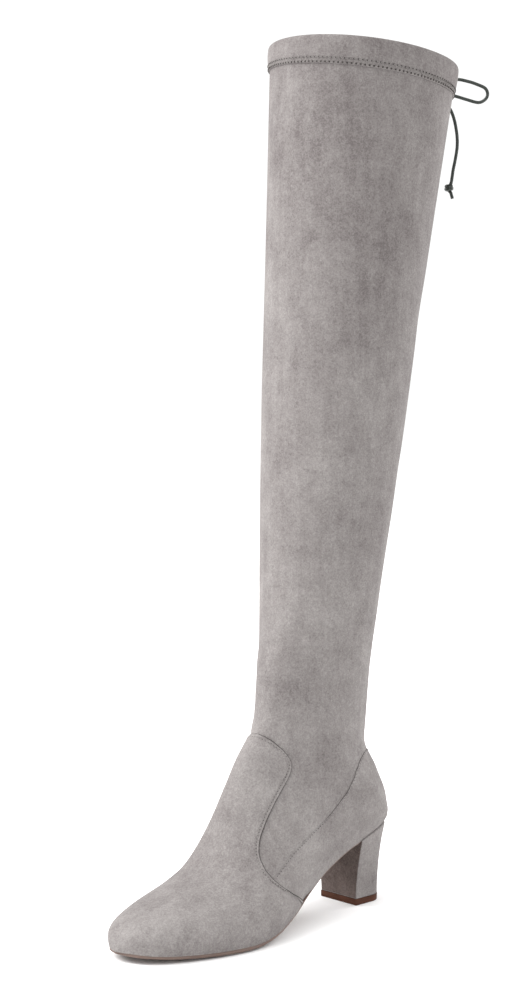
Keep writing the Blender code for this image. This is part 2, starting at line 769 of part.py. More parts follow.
def bow_knot():
    """The drawcord's knot, pulled into a ball."""
    half = KNOT_WIDTH / 2.0
    angles = [math.radians(a) for a in (8, 30, 50, 70, 90, 110, 130, 150, 172)]
    path = [knot_place() - (half * math.cos(a), 0.0, 0.0) for a in angles]
    return tube(path, [half * math.sin(a) for a in angles], 10)


def bow_loop(side):
    """A loop of the bow, to the outer side for 1 and the inner for -1."""
    ahead = np.array([side * math.cos(BOW_TURN), math.sin(BOW_TURN), 0.0])
    path = curve([knot_place() + ahead * p.out * BOW_LENGTH + (0.0, 0.0, p.up * BOW_LENGTH) for p in LOOP], 2)
    return tube(path, [CORD / 2.0] * len(path), 6)


def cord_end(side):
    """A hanging cord end with its end knot."""
    path = [knot_place() + np.array([side * p.side, p.back, -p.down]) * TAIL_DROP for p in TAIL]
    return tube(path, [(CORD + (END_KNOT - CORD) * p.knot) / 2.0 for p in TAIL], 6)


def cords():
    """Every drawcord piece by its name."""
    return {"bow_knot": bow_knot(), "bow_loop_outer": bow_loop(1.0), "bow_loop_inner": bow_loop(-1.0),
            "cord_end_outer": cord_end(1.0), "cord_end_inner": cord_end(-1.0)}


def add(name, shape, colour, roughness):
    """Makes one named object with its own material.

    Args:
        name: the object's name.
        shape: vertices in mm and faces.
        colour: linear base colour.
        roughness: the material's roughness.
    """
    points, faces = shape
    mesh = bpy.data.meshes.new(name)
    mesh.from_pydata([(x * 0.001, y * 0.001, z * 0.001) for x, y, z in points], [], faces)
    work = bmesh.new()
    work.from_mesh(mesh)
    bmesh.ops.triangulate(work, faces=[f for f in work.faces if len(f.verts) > 4])
    bmesh.ops.recalc_face_normals(work, faces=work.faces)
    if work.calc_volume(signed=True) < 0.0:
        bmesh.ops.reverse_faces(work, faces=work.faces)
    work.to_mesh(mesh)
    work.free()
    mesh.shade_smooth()
    mesh.set_sharp_from_angle(angle=math.radians(40.0))
    material = bpy.data.materials.new(name)
    material.use_nodes = True
    shader = material.node_tree.nodes["Principled BSDF"]
    shader.inputs["Base Color"].default_value = (*colour, 1.0)
    shader.inputs["Roughness"].default_value = roughness
    shader.inputs["Metallic"].default_value = 0.0
    mesh.materials.append(material)
    item = bpy.data.objects.new(name, mesh)
    bpy.context.scene.collection.objects.link(item)


SUEDE = (0.30, 0.275, 0.265)
TAN = (0.45, 0.25, 0.17)
BROWN = (0.16, 0.055, 0.03)
CORD_GREY = (0.05, 0.055, 0.05)


def build():
    """Clears the scene and makes every piece."""
    for item in list(bpy.data.objects):
        bpy.data.objects.remove(item, do_unlink=True)
    add("outsole", outsole(), TAN, 0.5)
    add("top_piece", top_piece(), BROWN, 0.5)
    add("heel_block", heel_block(), SUEDE, 0.95)
    add("insole", insole(), TAN, 0.6)
    add("upper", upper(), SUEDE, 0.95)
    add("vamp", vamp(), SUEDE, 0.95)
    add("counter", counter(), SUEDE, 0.95)
    add("top_band", top_band(), SUEDE, 0.95)
    for name, shape in cords().items():
        add(name, shape, CORD_GREY, 0.4)


build()
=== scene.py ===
"""Thigh high boot in grey suede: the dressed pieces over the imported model.

The left boot of a pair stands on its block heel and sole. Everything is in
millimetres in the tables and classes, and in metres in the meshes. -Y is
towards the toe, +X is the outer side and +Z is up.
"""
from __future__ import annotations

import logging
import math
from dataclasses import dataclass, field
from enum import Enum
from typing import Callable, Iterable, Mapping, NamedTuple, Sequence

import bmesh
import bpy
import numpy as np
from bpy.types import ID, Material, Node, NodeSocket, NodeTree, Object
from mathutils import Matrix, Vector
from mathutils.kdtree import KDTree

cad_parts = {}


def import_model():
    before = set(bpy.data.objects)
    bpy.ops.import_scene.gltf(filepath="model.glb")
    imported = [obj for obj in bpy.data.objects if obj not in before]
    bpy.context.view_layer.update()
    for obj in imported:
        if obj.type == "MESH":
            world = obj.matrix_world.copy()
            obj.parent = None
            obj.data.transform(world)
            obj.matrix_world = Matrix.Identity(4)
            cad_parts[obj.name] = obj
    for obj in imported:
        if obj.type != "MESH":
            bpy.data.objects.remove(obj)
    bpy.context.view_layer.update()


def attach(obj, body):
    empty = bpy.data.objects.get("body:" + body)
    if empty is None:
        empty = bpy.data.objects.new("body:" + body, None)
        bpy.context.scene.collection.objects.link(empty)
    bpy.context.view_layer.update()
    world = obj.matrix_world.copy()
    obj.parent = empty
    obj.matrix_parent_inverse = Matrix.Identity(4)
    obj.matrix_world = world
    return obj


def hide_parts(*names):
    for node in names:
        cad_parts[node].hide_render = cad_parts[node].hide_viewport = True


LOG = logging.getLogger("boot")
MM = 0.001
BODY = "root"
Triple = tuple[float, float, float]
# Places around past this one lie on the sole line, where the upper meets the outsole.
SOLE_LINE = 0.999
# The sole's top is level from this section to the toe's tip.
TIP_LEVEL = 1.6
# Distances from an overlay's edge, in mm, at which its mesh has rows.
NEAR_EDGE = (0.0, 0.45, 0.9, 1.35, 1.8, 2.3, 3.0, 4.2, 6.2)
# The hem's lower lip: mm past the hem's depth, and mm over the upper's face.
HEM_LIP = ((0.15, 0.12), (0.1, 0.3), (-0.1, 0.55), (-0.4, 0.8))


class Side(Enum):
    """The two sides of the boot, as the sign of X."""

    OUTER = 1.0
    INNER = -1.0


class Nap(Enum):
    """How a suede panel's nap runs, as the stretch of its brush marks on each axis."""

    DOWN = (1.0, 1.0, 0.13)
    ALONG = (1.0, 0.22, 0.45)


class Layer(NamedTuple):
    """A noise of a finish: its pattern, and its share of the tone and of the relief."""

    scale: float
    detail: float
    rough: float
    tone: float
    relief: float = 0.0


class Stitch(NamedTuple):
    """Sizes of a row of stitches, in mm.

    spacing: from stitch to stitch
    length: a stitch's length
    thread: the thread's thickness
    hole: a needle hole's width
    """

    spacing: float
    length: float
    thread: float
    hole: float


class Panel(NamedTuple):
    """A soft area light, in metres and watts."""

    name: str
    place: Triple
    aim: Triple
    size: tuple[float, float]
    power: float


class Foot(NamedTuple):
    """A section of the foot, as shares of the last's sizes."""

    back: float
    lift: float
    out: float
    into: float
    ridge_back: float
    rise: float
    bulge_out: float
    bulge_in: float
    widest: float
    round: float
    ridge: float
    sole: float


class Shaft(NamedTuple):
    """A section of the shaft, as shares of the last's sizes."""

    back: float
    front: float
    back_y: float
    front_y: float
    width: float
    centre: float
    widest: float


class Edge(NamedTuple):
    """A point of an overlay's edge: section number and place around."""

    at: float
    around: float


class BowPoint(NamedTuple):
    """A point of a bow loop, as shares of the loop's length."""

    out: float
    up: float


class TailPoint(NamedTuple):
    """A point of a cord end, as shares of its drop."""

    side: float
    back: float
    down: float


class Fold(NamedTuple):
    """A soft fold in the suede.

    start, middle, end: places (section, around)
    width: half width in mm
    depth: how far it stands proud, or in where negative, in mm
    """

    start: tuple[float, float]
    middle: tuple[float, float]
    end: tuple[float, float]
    width: float
    depth: float


FOOT = (
    Foot(1.000, 0.111, -0.222, 0.222, 1.000, 0.005, 0.00, 0.00, 0.50, 2.00, -0.222, 0.62),  # tip
    Foot(0.996, 0.079, -0.157, 0.272, 0.997, 0.080, 0.03, 0.03, 0.45, 2.10, -0.214, 0.63),  # toe_a
    Foot(0.984, 0.067, -0.035, 0.358, 0.984, 0.154, 0.05, 0.04, 0.42, 2.20, -0.207, 0.65),  # toe_b
    Foot(0.962, 0.050, 0.066, 0.430, 0.961, 0.212, 0.06, 0.05, 0.40, 2.25, -0.193, 0.68),  # toe_c
    Foot(0.930, 0.034, 0.167, 0.488, 0.925, 0.264, 0.07, 0.05, 0.38, 2.30, -0.186, 0.74),  # toe_d
    Foot(0.885, 0.020, 0.265, 0.538, 0.869, 0.315, 0.08, 0.06, 0.36, 2.30, -0.186, 0.84),  # toe_e
    Foot(0.825, 0.008, 0.360, 0.565, 0.800, 0.377, 0.09, 0.07, 0.34, 2.20, -0.186, 0.95),  # toe_f
    Foot(0.755, 0.000, 0.443, 0.551, 0.718, 0.459, 0.09, 0.08, 0.32, 2.10, -0.186, 1.00),  # ball_a
    Foot(0.680, 0.000, 0.498, 0.502, 0.661, 0.570, 0.10, 0.10, 0.30, 1.95, -0.186, 1.00),  # ball
    Foot(0.595, 0.052, 0.501, 0.436, 0.620, 0.726, 0.10, 0.15, 0.30, 1.85, -0.178, 0.80),  # ball_b
    Foot(0.505, 0.182, 0.440, 0.377, 0.584, 0.867, 0.12, 0.21, 0.32, 1.80, -0.171, 0.52),  # waist_a
    Foot(0.415, 0.404, 0.371, 0.352, 0.551, 0.952, 0.15, 0.26, 0.34, 1.80, -0.157, 0.42),  # waist_b
    Foot(0.325, 0.636, 0.338, 0.361, 0.522, 0.982, 0.18, 0.26, 0.34, 1.85, -0.142, 0.38),  # arch
    Foot(0.240, 0.808, 0.334, 0.345, 0.494, 1.000, 0.20, 0.27, 0.34, 1.90, -0.128, 0.38),  # shank
    Foot(0.180, 0.880, 0.322, 0.330, 0.478, 1.033, 0.23, 0.33, 0.36, 1.95, -0.115, 0.38),  # breast
    Foot(0.110, 0.940, 0.280, 0.288, 0.469, 1.085, 0.36, 0.47, 0.38, 2.00, -0.108, 0.38),  # seat_a
    Foot(0.052, 0.976, 0.216, 0.223, 0.463, 1.133, 0.53, 0.67, 0.40, 2.00, -0.102, 0.38),  # seat_b
    Foot(0.018, 0.992, 0.145, 0.148, 0.461, 1.182, 0.70, 0.88, 0.42, 2.00, -0.097, 0.38),  # seat_c
    Foot(0.000, 1.000, 0.000, 0.000, 0.457, 1.263, 0.97, 1.26, 0.46, 2.00, -0.092, 0.38),  # rear
)
SHAFT = (
    Shaft(0.017, 0.010, 0.044, 0.022, 0.094, -0.200, 0.52),  # heel_a
    Shaft(0.059, 0.034, -0.148, 0.078, 0.027, -0.218, 0.54),  # heel_b
    Shaft(0.112, 0.067, -0.400, 0.203, 0.000, -0.242, 0.56),  # ankle
    Shaft(0.189, 0.122, -0.390, 0.375, 0.106, -0.249, 0.56),  # ankle_top
    Shaft(0.316, 0.231, -0.262, 0.497, 0.308, -0.224, 0.53),  # calf_a
    Shaft(0.498, 0.409, 0.023, 0.622, 0.551, -0.190, 0.50),  # calf_b
    Shaft(0.707, 0.632, 0.377, 0.797, 0.743, -0.156, 0.50),  # knee
    Shaft(1.000, 1.000, 1.000, 1.000, 1.000, -0.107, 0.50),  # collar
)
TONGUE = (
    Edge(9.22, 0.490), Edge(9.30, 0.430), Edge(9.50, 0.388), Edge(9.85, 0.362),
    Edge(10.40, 0.352), Edge(11.15, 0.355), Edge(11.90, 0.360), Edge(12.60, 0.355),
    Edge(13.00, 0.340), Edge(13.30, 0.308), Edge(13.48, 0.250), Edge(13.55, 0.180),
)
FLARE = (
    Edge(9.22, 0.490), Edge(9.30, 0.563), Edge(9.56, 0.656), Edge(9.77, 0.716), Edge(9.98, 0.760),
    Edge(10.30, 0.830), Edge(10.52, 0.910), Edge(10.62, 1.000),
)
COUNTER_SEAM = (
    Edge(9.30, 0.556), Edge(10.50, 0.578), Edge(11.50, 0.622), Edge(12.50, 0.646), Edge(13.50, 0.636),
    Edge(14.50, 0.607), Edge(15.50, 0.561), Edge(16.00, 0.541), Edge(16.50, 0.523), Edge(17.00, 0.507),
    Edge(17.30, 0.498), Edge(17.65, 0.488), Edge(18.00, 0.483), Edge(18.25, 0.482), Edge(18.50, 0.484),
    Edge(19.00, 0.497), Edge(19.50, 0.534), Edge(20.00, 0.600), Edge(20.25, 0.647), Edge(20.50, 0.713),
    Edge(20.75, 0.813), Edge(20.90, 0.902), Edge(21.00, 0.985),
)
LOOP = (
    BowPoint(0.066, 0.066), BowPoint(0.125, 0.113), BowPoint(0.261, 0.158), BowPoint(0.470, 0.217),
    BowPoint(0.678, 0.181), BowPoint(0.832, 0.128), BowPoint(0.956, 0.066), BowPoint(0.995, -0.025),
    BowPoint(0.957, -0.111), BowPoint(0.846, -0.161), BowPoint(0.664, -0.114), BowPoint(0.518, -0.068),
    BowPoint(0.400, -0.036), BowPoint(0.260, -0.018), BowPoint(0.150, -0.004), BowPoint(0.093, 0.000),
)
TAIL = (
    TailPoint(0.033, 0.016, 0.040), TailPoint(0.062, 0.031, 0.070),
    TailPoint(0.120, 0.055, 0.095), TailPoint(0.175, 0.082, 0.124),
    TailPoint(0.211, 0.099, 0.162), TailPoint(0.239, 0.126, 0.262),
    TailPoint(0.251, 0.152, 0.400), TailPoint(0.247, 0.162, 0.512),
    TailPoint(0.225, 0.162, 0.634), TailPoint(0.203, 0.160, 0.729),
    TailPoint(0.189, 0.152, 0.840), TailPoint(0.175, 0.152, 0.868),
    TailPoint(0.162, 0.152, 0.897), TailPoint(0.165, 0.154, 0.926),
    TailPoint(0.180, 0.157, 0.945), TailPoint(0.193, 0.166, 1.000),
)
FOLDS: tuple[Fold, ...] = (
    Fold((22.10, 0.10), (21.90, 0.28), (21.55, 0.45), 7.0, -0.55),
    Fold((21.55, 0.12), (21.30, 0.32), (20.90, 0.50), 8.0, 0.45),
    Fold((22.60, -0.10), (22.40, 0.20), (22.05, 0.50), 11.0, -0.45),
    Fold((23.10, 0.30), (22.80, 0.55), (22.50, 0.80), 12.0, 0.40),
    Fold((24.05, 0.20), (23.90, 0.50), (23.80, 0.85), 16.0, -0.60),
    Fold((24.60, -0.20), (24.70, 0.15), (24.55, 0.45), 18.0, 0.45),
    Fold((25.10, 0.55), (24.85, 0.72), (24.70, 0.95), 15.0, -0.55),
    Fold((25.55, 0.05), (25.35, 0.25), (25.05, 0.40), 17.0, 0.40),
    Fold((22.90, -0.60), (22.60, -0.40), (22.30, -0.20), 11.0, -0.50),
    Fold((21.70, -0.70), (21.60, -0.45), (21.40, -0.20), 8.0, -0.45),
    Fold((24.20, -0.90), (24.05, -0.60), (23.95, -0.30), 16.0, -0.55),
    Fold((25.20, -0.80), (25.05, -0.50), (24.90, -0.30), 16.0, 0.45),
)
LIGHTS = (
    Panel("left_wall", (-2.35, -1.78, 2.05), (0.0, 0.0, 0.18), (1.8, 1.8), 102.0),
    Panel("right_wall", (0.33, 1.46, 0.7), (0.0, 0.0, 0.2), (0.9, 1.4), 19.0),
    Panel("overhead", (-0.35, -1.3, 2.4), (0.0, -0.2, 0.0), (1.6, 1.6), 40.0),
)


def unit(rows: np.ndarray) -> np.ndarray:
    """Each row at length 1; a row of zeros stays as it is."""
    return rows / np.maximum(np.linalg.norm(rows, axis=-1, keepdims=True), 1e-9)


def path_run(line: np.ndarray) -> np.ndarray:
    """Length of a line up to each of its points."""
    return np.concatenate([[0.0], np.cumsum(np.linalg.norm(np.diff(line, axis=0), axis=1))])


def hermite(u: np.ndarray | float, start: np.ndarray, end: np.ndarray, leave: np.ndarray,
            arrive: np.ndarray) -> np.ndarray:
    """Points on a smooth curve between two points.

    Args:
        u: 0 at the start and 1 at the end.
        start: where the curve starts.
        end: where it ends.
        leave: its slope at the start.
        arrive: its slope at the end.

    Returns:
        The points at u.
    """
    u2, u3 = u * u, u * u * u
    return ((2 * u3 - 3 * u2 + 1) * start + (u3 - 2 * u2 + u) * leave
            + (3 * u2 - 2 * u3) * end + (u3 - u2) * arrive)


def add_object(name: str, data: ID) -> Object:
    """Puts a new object with its data into the scene."""
    item = bpy.data.objects.new(name, data)
    bpy.context.scene.collection.objects.link(item)
    return item


class Wire:
    """A shader value whose operators add Math nodes."""

    def __init__(self, tree: NodeTree, socket: NodeSocket) -> None:
        """Wraps one output socket."""
        self.tree = tree
        self.socket = socket

    def _math(self, operation: str, first: Wire | float, second: Wire | float = 0.0) -> Wire:
        """Adds one Math node on two values and gives its result."""
        node = add_node(self.tree, "ShaderNodeMath", {"operation": operation}, {0: first, 1: second})
        return Wire(self.tree, node.outputs[0])

    def __add__(self, other: Wire | float) -> Wire:
        """Sum."""
        return self._math("ADD", self, other)

    __radd__ = __add__

    def __sub__(self, other: Wire | float) -> Wire:
        """Difference."""
        return self._math("SUBTRACT", self, other)

    def __rsub__(self, other: Wire | float) -> Wire:
        """Difference from a number."""
        return self._math("SUBTRACT", other, self)

    def __mul__(self, other: Wire | float) -> Wire:
        """Product."""
        return self._math("MULTIPLY", self, other)

    __rmul__ = __mul__

    def sine(self) -> Wire:
        """Sine, in radians."""
        return self._math("SINE", self)

    def least(self, other: Wire | float) -> Wire:
        """The smaller value."""
        return self._math("MINIMUM", self, other)

    def most(self, other: Wire | float) -> Wire:
        """The larger value."""
        return self._math("MAXIMUM", self, other)

    def clamped(self) -> Wire:
        """Held between 0 and 1."""
        return self.most(0.0).least(1.0)


def feed(slot: NodeSocket, value: object) -> None:
    """Sets an input, or links it where the value is a wire or a socket."""
    source = value.socket if isinstance(value, Wire) else value
    if isinstance(source, NodeSocket):
        slot.id_data.links.new(source, slot)
    else:
        slot.default_value = source


def add_node(tree: NodeTree, kind: str, settings: Mapping[str, object] | None = None,
             inputs: Mapping[str | int, object] | None = None) -> Node:
    """Adds any node to a tree.

    Args:
        tree: the tree.
        kind: the node's type name.
        settings: properties, set first.
        inputs: values, wires or sockets by input name or number.

    Returns:
        The node.
    """
    node = tree.nodes.new(kind)
    for key, value in (settings or {}).items():
        setattr(node, key, value)
    for key, value in (inputs or {}).items():
        feed(node.inputs[key], value)
    return node


class Bench:
    """Builds one material round its Principled shader."""

    def __init__(self, name: str) -> None:
        """Starts a material with nothing but its shader and output."""
        self.material = bpy.data.materials.new(name)
        self.material.use_nodes = True
        self.tree = self.material.node_tree
        self.shader = self.tree.nodes["Principled BSDF"]

    def node(self, kind: str, settings: Mapping[str, object] | None = None,
             inputs: Mapping[str | int, object] | None = None) -> Node:
        """Adds any node to the material, as add_node does."""
        return add_node(self.tree, kind, settings, inputs)

    def coords(self, name: str = "Object", scale: Triple = (1.0, 1.0, 1.0)) -> NodeSocket:
        """Object or UV coordinates, stretched per axis.

        Args:
            name: the Texture Coordinate output.
            scale: per-axis scale.

        Returns:
            The vector socket.
        """
        spot = self.node("ShaderNodeTexCoord").outputs[name]
        if scale == (1.0, 1.0, 1.0):
            return spot
        return self.node("ShaderNodeMapping", {}, {"Vector": spot, "Scale": scale}).outputs[0]

    def noise(self, spot: NodeSocket, scale: float, detail: float = 2.0, rough: float = 0.5) -> Wire:
        """Noise between 0 and 1 at a place."""
        node = self.node("ShaderNodeTexNoise", {"noise_dimensions": "3D"},
                         {"Vector": spot, "Scale": scale, "Detail": detail, "Roughness": rough})
        return Wire(self.tree, node.outputs[0])

    def blend(self, share: Wire | float, first: Sequence[float], second: Sequence[float]) -> NodeSocket:
        """Mixes two colours.

        Args:
            share: how much of the second one.
            first: colour at 0.
            second: colour at 1.

        Returns:
            The colour socket.
        """
        colours = {6: (*first, 1.0), 7: (*second, 1.0)}
        return self.node("ShaderNodeMix", {"data_type": "RGBA"}, {0: share, **colours}).outputs[2]

    def bump(self, height: Wire, distance: float, strength: float = 1.0) -> None:
        """Feeds a height, in metres at 1, to the shader's normal."""
        node = self.node("ShaderNodeBump", {}, {"Height": height, "Distance": distance, "Strength": strength})
        feed(self.shader.inputs["Normal"], node.outputs[0])

    def dress(self, values: Mapping[str, object]) -> Material:
        """Sets or links the shader's inputs by name and gives the finished material."""
        for key, value in values.items():
            feed(self.shader.inputs[key], value)
        return self.material


@dataclass(frozen=True)
class SuedeFinish:
    """Brushed suede: cloudy mottling, brush marks along the nap, a fine grain, and a painted shade that makes
    it darker towards the top.

    level: added to the layers' tones, so that they lie between dark and light
    painted_shade_from: height in metres from which the painted shade darkens the suede
    painted_top_shade: how much darker the painted shade makes it in a metre
    relief: height of the grain, in metres
    """

    dark: Triple = (0.122, 0.107, 0.106)
    light: Triple = (0.283, 0.266, 0.257)
    cloud: Layer = Layer(16.0, 4.0, 0.62, 1.1)
    mottle: Layer = Layer(85.0, 3.0, 0.6, 0.55, 0.4)
    brush: Layer = Layer(170.0, 3.0, 0.6, 0.45)
    nubs: Layer = Layer(480.0, 2.0, 0.6, 0.65, 0.5)
    grain: Layer = Layer(1000.0, 2.0, 0.7, 1.25, 0.6)
    level: float = -1.5
    painted_shade_from: float = 0.25
    painted_top_shade: float = 0.45
    relief: float = 0.0003
    sheen: float = 0.05

    def make(self, name: str, nap: Nap) -> Material:
        """Makes the material for panels whose nap runs one way.

        Args:
            name: the material's name.
            nap: how the nap runs.

        Returns:
            The material.
        """
        bench = Bench(name)
        spot = bench.coords()
        layers = (self.cloud, self.mottle, self.nubs, self.grain)
        noises = [bench.noise(spot, layer.scale, layer.detail, layer.rough) for layer in layers]
        marks = bench.coords("Object", tuple(self.brush.scale * stretch for stretch in nap.value))
        brush = bench.noise(marks, 1.0, self.brush.detail, self.brush.rough)
        height = Wire(bench.tree, bench.node("ShaderNodeSeparateXYZ", {}, {0: spot}).outputs[2])
        # Painted shade: the tone drops with height past a set level, so the top of the shaft looks less lit.
        tone = brush * self.brush.tone + self.level - (height - self.painted_shade_from).clamped() * self.painted_top_shade
        for layer, noise in zip(layers, noises):
            tone = tone + noise * layer.tone
        cloud, mottle, nubs, grain = noises
        pile = grain * self.grain.relief + nubs * self.nubs.relief + mottle * self.mottle.relief
        bench.bump(pile, self.relief, 0.6)
        return bench.dress({"Base Color": bench.blend(tone.clamped(), self.dark, self.light),
                            "Roughness": cloud * 0.1 + 0.86, "Metallic": 0.0, "Specular IOR Level": 0.08,
                            "Sheen Weight": self.sheen, "Sheen Roughness": 0.4,
                            "Sheen Tint": (0.97, 0.95, 0.94, 1.0)})


@dataclass(frozen=True)
class PaintedShadowFinish:
    """Painted shadow: the dark lip under an overlay's turned rim, the hem's lowest lip face and the needle
    holes, where shade falls.
    """

    base: Triple = (0.030, 0.026, 0.025)
    frayed: Triple = (0.075, 0.067, 0.064)

    def make(self, name: str) -> Material:
        """Makes the material."""
        bench = Bench(name)
        fray = bench.noise(bench.coords(), 700.0, 2.0)
        return bench.dress({"Base Color": bench.blend(fray, self.base, self.frayed),
                            "Roughness": fray * 0.1 + 0.88, "Metallic": 0.0, "Specular IOR Level": 0.1})


@dataclass(frozen=True)
class EdgeLeatherFinish:
    """Sole leather with a trimmed, waxed edge and faint layers."""

    base: Triple = (0.105, 0.066, 0.052)
    worn: Triple = (0.185, 0.128, 0.104)

    def make(self, name: str) -> Material:
        """Makes the material."""
        bench = Bench(name)
        patch = bench.noise(bench.coords(), 70.0, 3.0, 0.6)
        layer = bench.noise(bench.coords("Object", (60.0, 60.0, 1600.0)), 1.0, 2.0, 0.5)
        colour = bench.blend((patch * 0.9 + layer * 0.6 - 0.35).clamped(), self.base, self.worn)
        bench.bump(layer * 0.6 + bench.noise(bench.coords(), 900.0, 2.0) * 0.4, 0.00010, 0.5)
        return bench.dress({"Base Color": colour, "Roughness": patch * 0.25 + 0.42, "Metallic": 0.0})


@dataclass(frozen=True)
class HeelRubberFinish:
    """Matt red-brown rubber with a fine moulded grain and scuffs."""

    base: Triple = (0.044, 0.015, 0.007)
    scuffed: Triple = (0.098, 0.041, 0.026)

    def make(self, name: str) -> Material:
        """Makes the material."""
        bench = Bench(name)
        scuff = bench.noise(bench.coords("Object", (90.0, 90.0, 260.0)), 1.0, 3.0, 0.6)
        colour = bench.blend((scuff * 1.6 - 0.45).clamped(), self.base, self.scuffed)
        bench.bump(bench.noise(bench.coords(), 1400.0, 2.0), 0.00012, 0.5)
        return bench.dress({"Base Color": colour, "Roughness": scuff * 0.2 + 0.6, "Metallic": 0.0,
                            "Specular IOR Level": 0.12})


@dataclass(frozen=True)
class CordFinish:
    """Waxed round cord, a fine plait over its UV map, its crests paler: partly rubbed wear, partly a painted
    highlight.
    """

    base: Triple = (0.009, 0.012, 0.010)
    rubbed_and_highlight: Triple = (0.060, 0.070, 0.061)
    turns: float = 4.0
    pitch: float = 1.6

    def make(self, name: str) -> Material:
        """Makes the material; V of the UV map is in millimetres of length."""
        bench = Bench(name)
        split = bench.node("ShaderNodeSeparateXYZ", {}, {0: bench.coords("UV")})
        around = Wire(bench.tree, split.outputs[0]) * (self.turns * 2.0 * math.pi)
        along = Wire(bench.tree, split.outputs[1]) * (2.0 * math.pi / self.pitch)
        plait = (around + along).sine() * (around - along).sine() * 0.5 + 0.5
        patch = bench.noise(bench.coords(), 320.0, 2.0)
        # Paler on the plait's crests: partly rubbed wear, partly a painted highlight.
        colour = bench.blend((plait * 0.45 + patch * 0.6 - 0.2).clamped(), self.base, self.rubbed_and_highlight)
        bench.bump(plait, 0.00012, 0.6)
        return bench.dress({"Base Color": colour, "Roughness": 0.46 - plait * 0.14, "Metallic": 0.0,
                            "Coat Weight": patch * 0.2, "Specular IOR Level": 0.35})


@dataclass(frozen=True)
class ThreadFinish:
    """Matt sewing thread."""

    base: Triple = (0.15, 0.138, 0.132)
    pale: Triple = (0.29, 0.272, 0.258)

    def make(self, name: str) -> Material:
        """Makes the material."""
        bench = Bench(name)
        twist = bench.noise(bench.coords(), 2600.0, 2.0)
        bench.bump(twist, 0.00006, 0.6)
        return bench.dress({"Base Color": bench.blend(twist, self.base, self.pale),
                            "Roughness": twist * 0.2 + 0.6, "Metallic": 0.0})


@dataclass(frozen=True)
class LiningFinish:
    """Soft knitted lining with fine ribs."""

    base: Triple = (0.24, 0.21, 0.19)
    pale: Triple = (0.36, 0.325, 0.30)

    def make(self, name: str) -> Material:
        """Makes the material."""
        bench = Bench(name)
        rib = bench.noise(bench.coords("Object", (900.0, 900.0, 240.0)), 1.0, 2.0)
        soft = bench.noise(bench.coords(), 45.0, 2.0)
        colour = bench.blend((rib * 0.7 + soft * 0.6 - 0.15).clamped(), self.base, self.pale)
        bench.bump(rib, 0.00015, 0.5)
        return bench.dress({"Base Color": colour, "Roughness": rib * 0.15 + 0.78, "Metallic": 0.0})


@dataclass(frozen=True)
class FloorFinish:
    """Plain pale studio floor."""

    base: Triple = (0.95, 0.95, 0.95)

    def make(self, name: str) -> Material:
        """Makes the material."""
        bench = Bench(name)
        return bench.dress({"Base Color": (*self.base, 1.0), "Roughness": 0.9, "Specular IOR Level": 0.0})


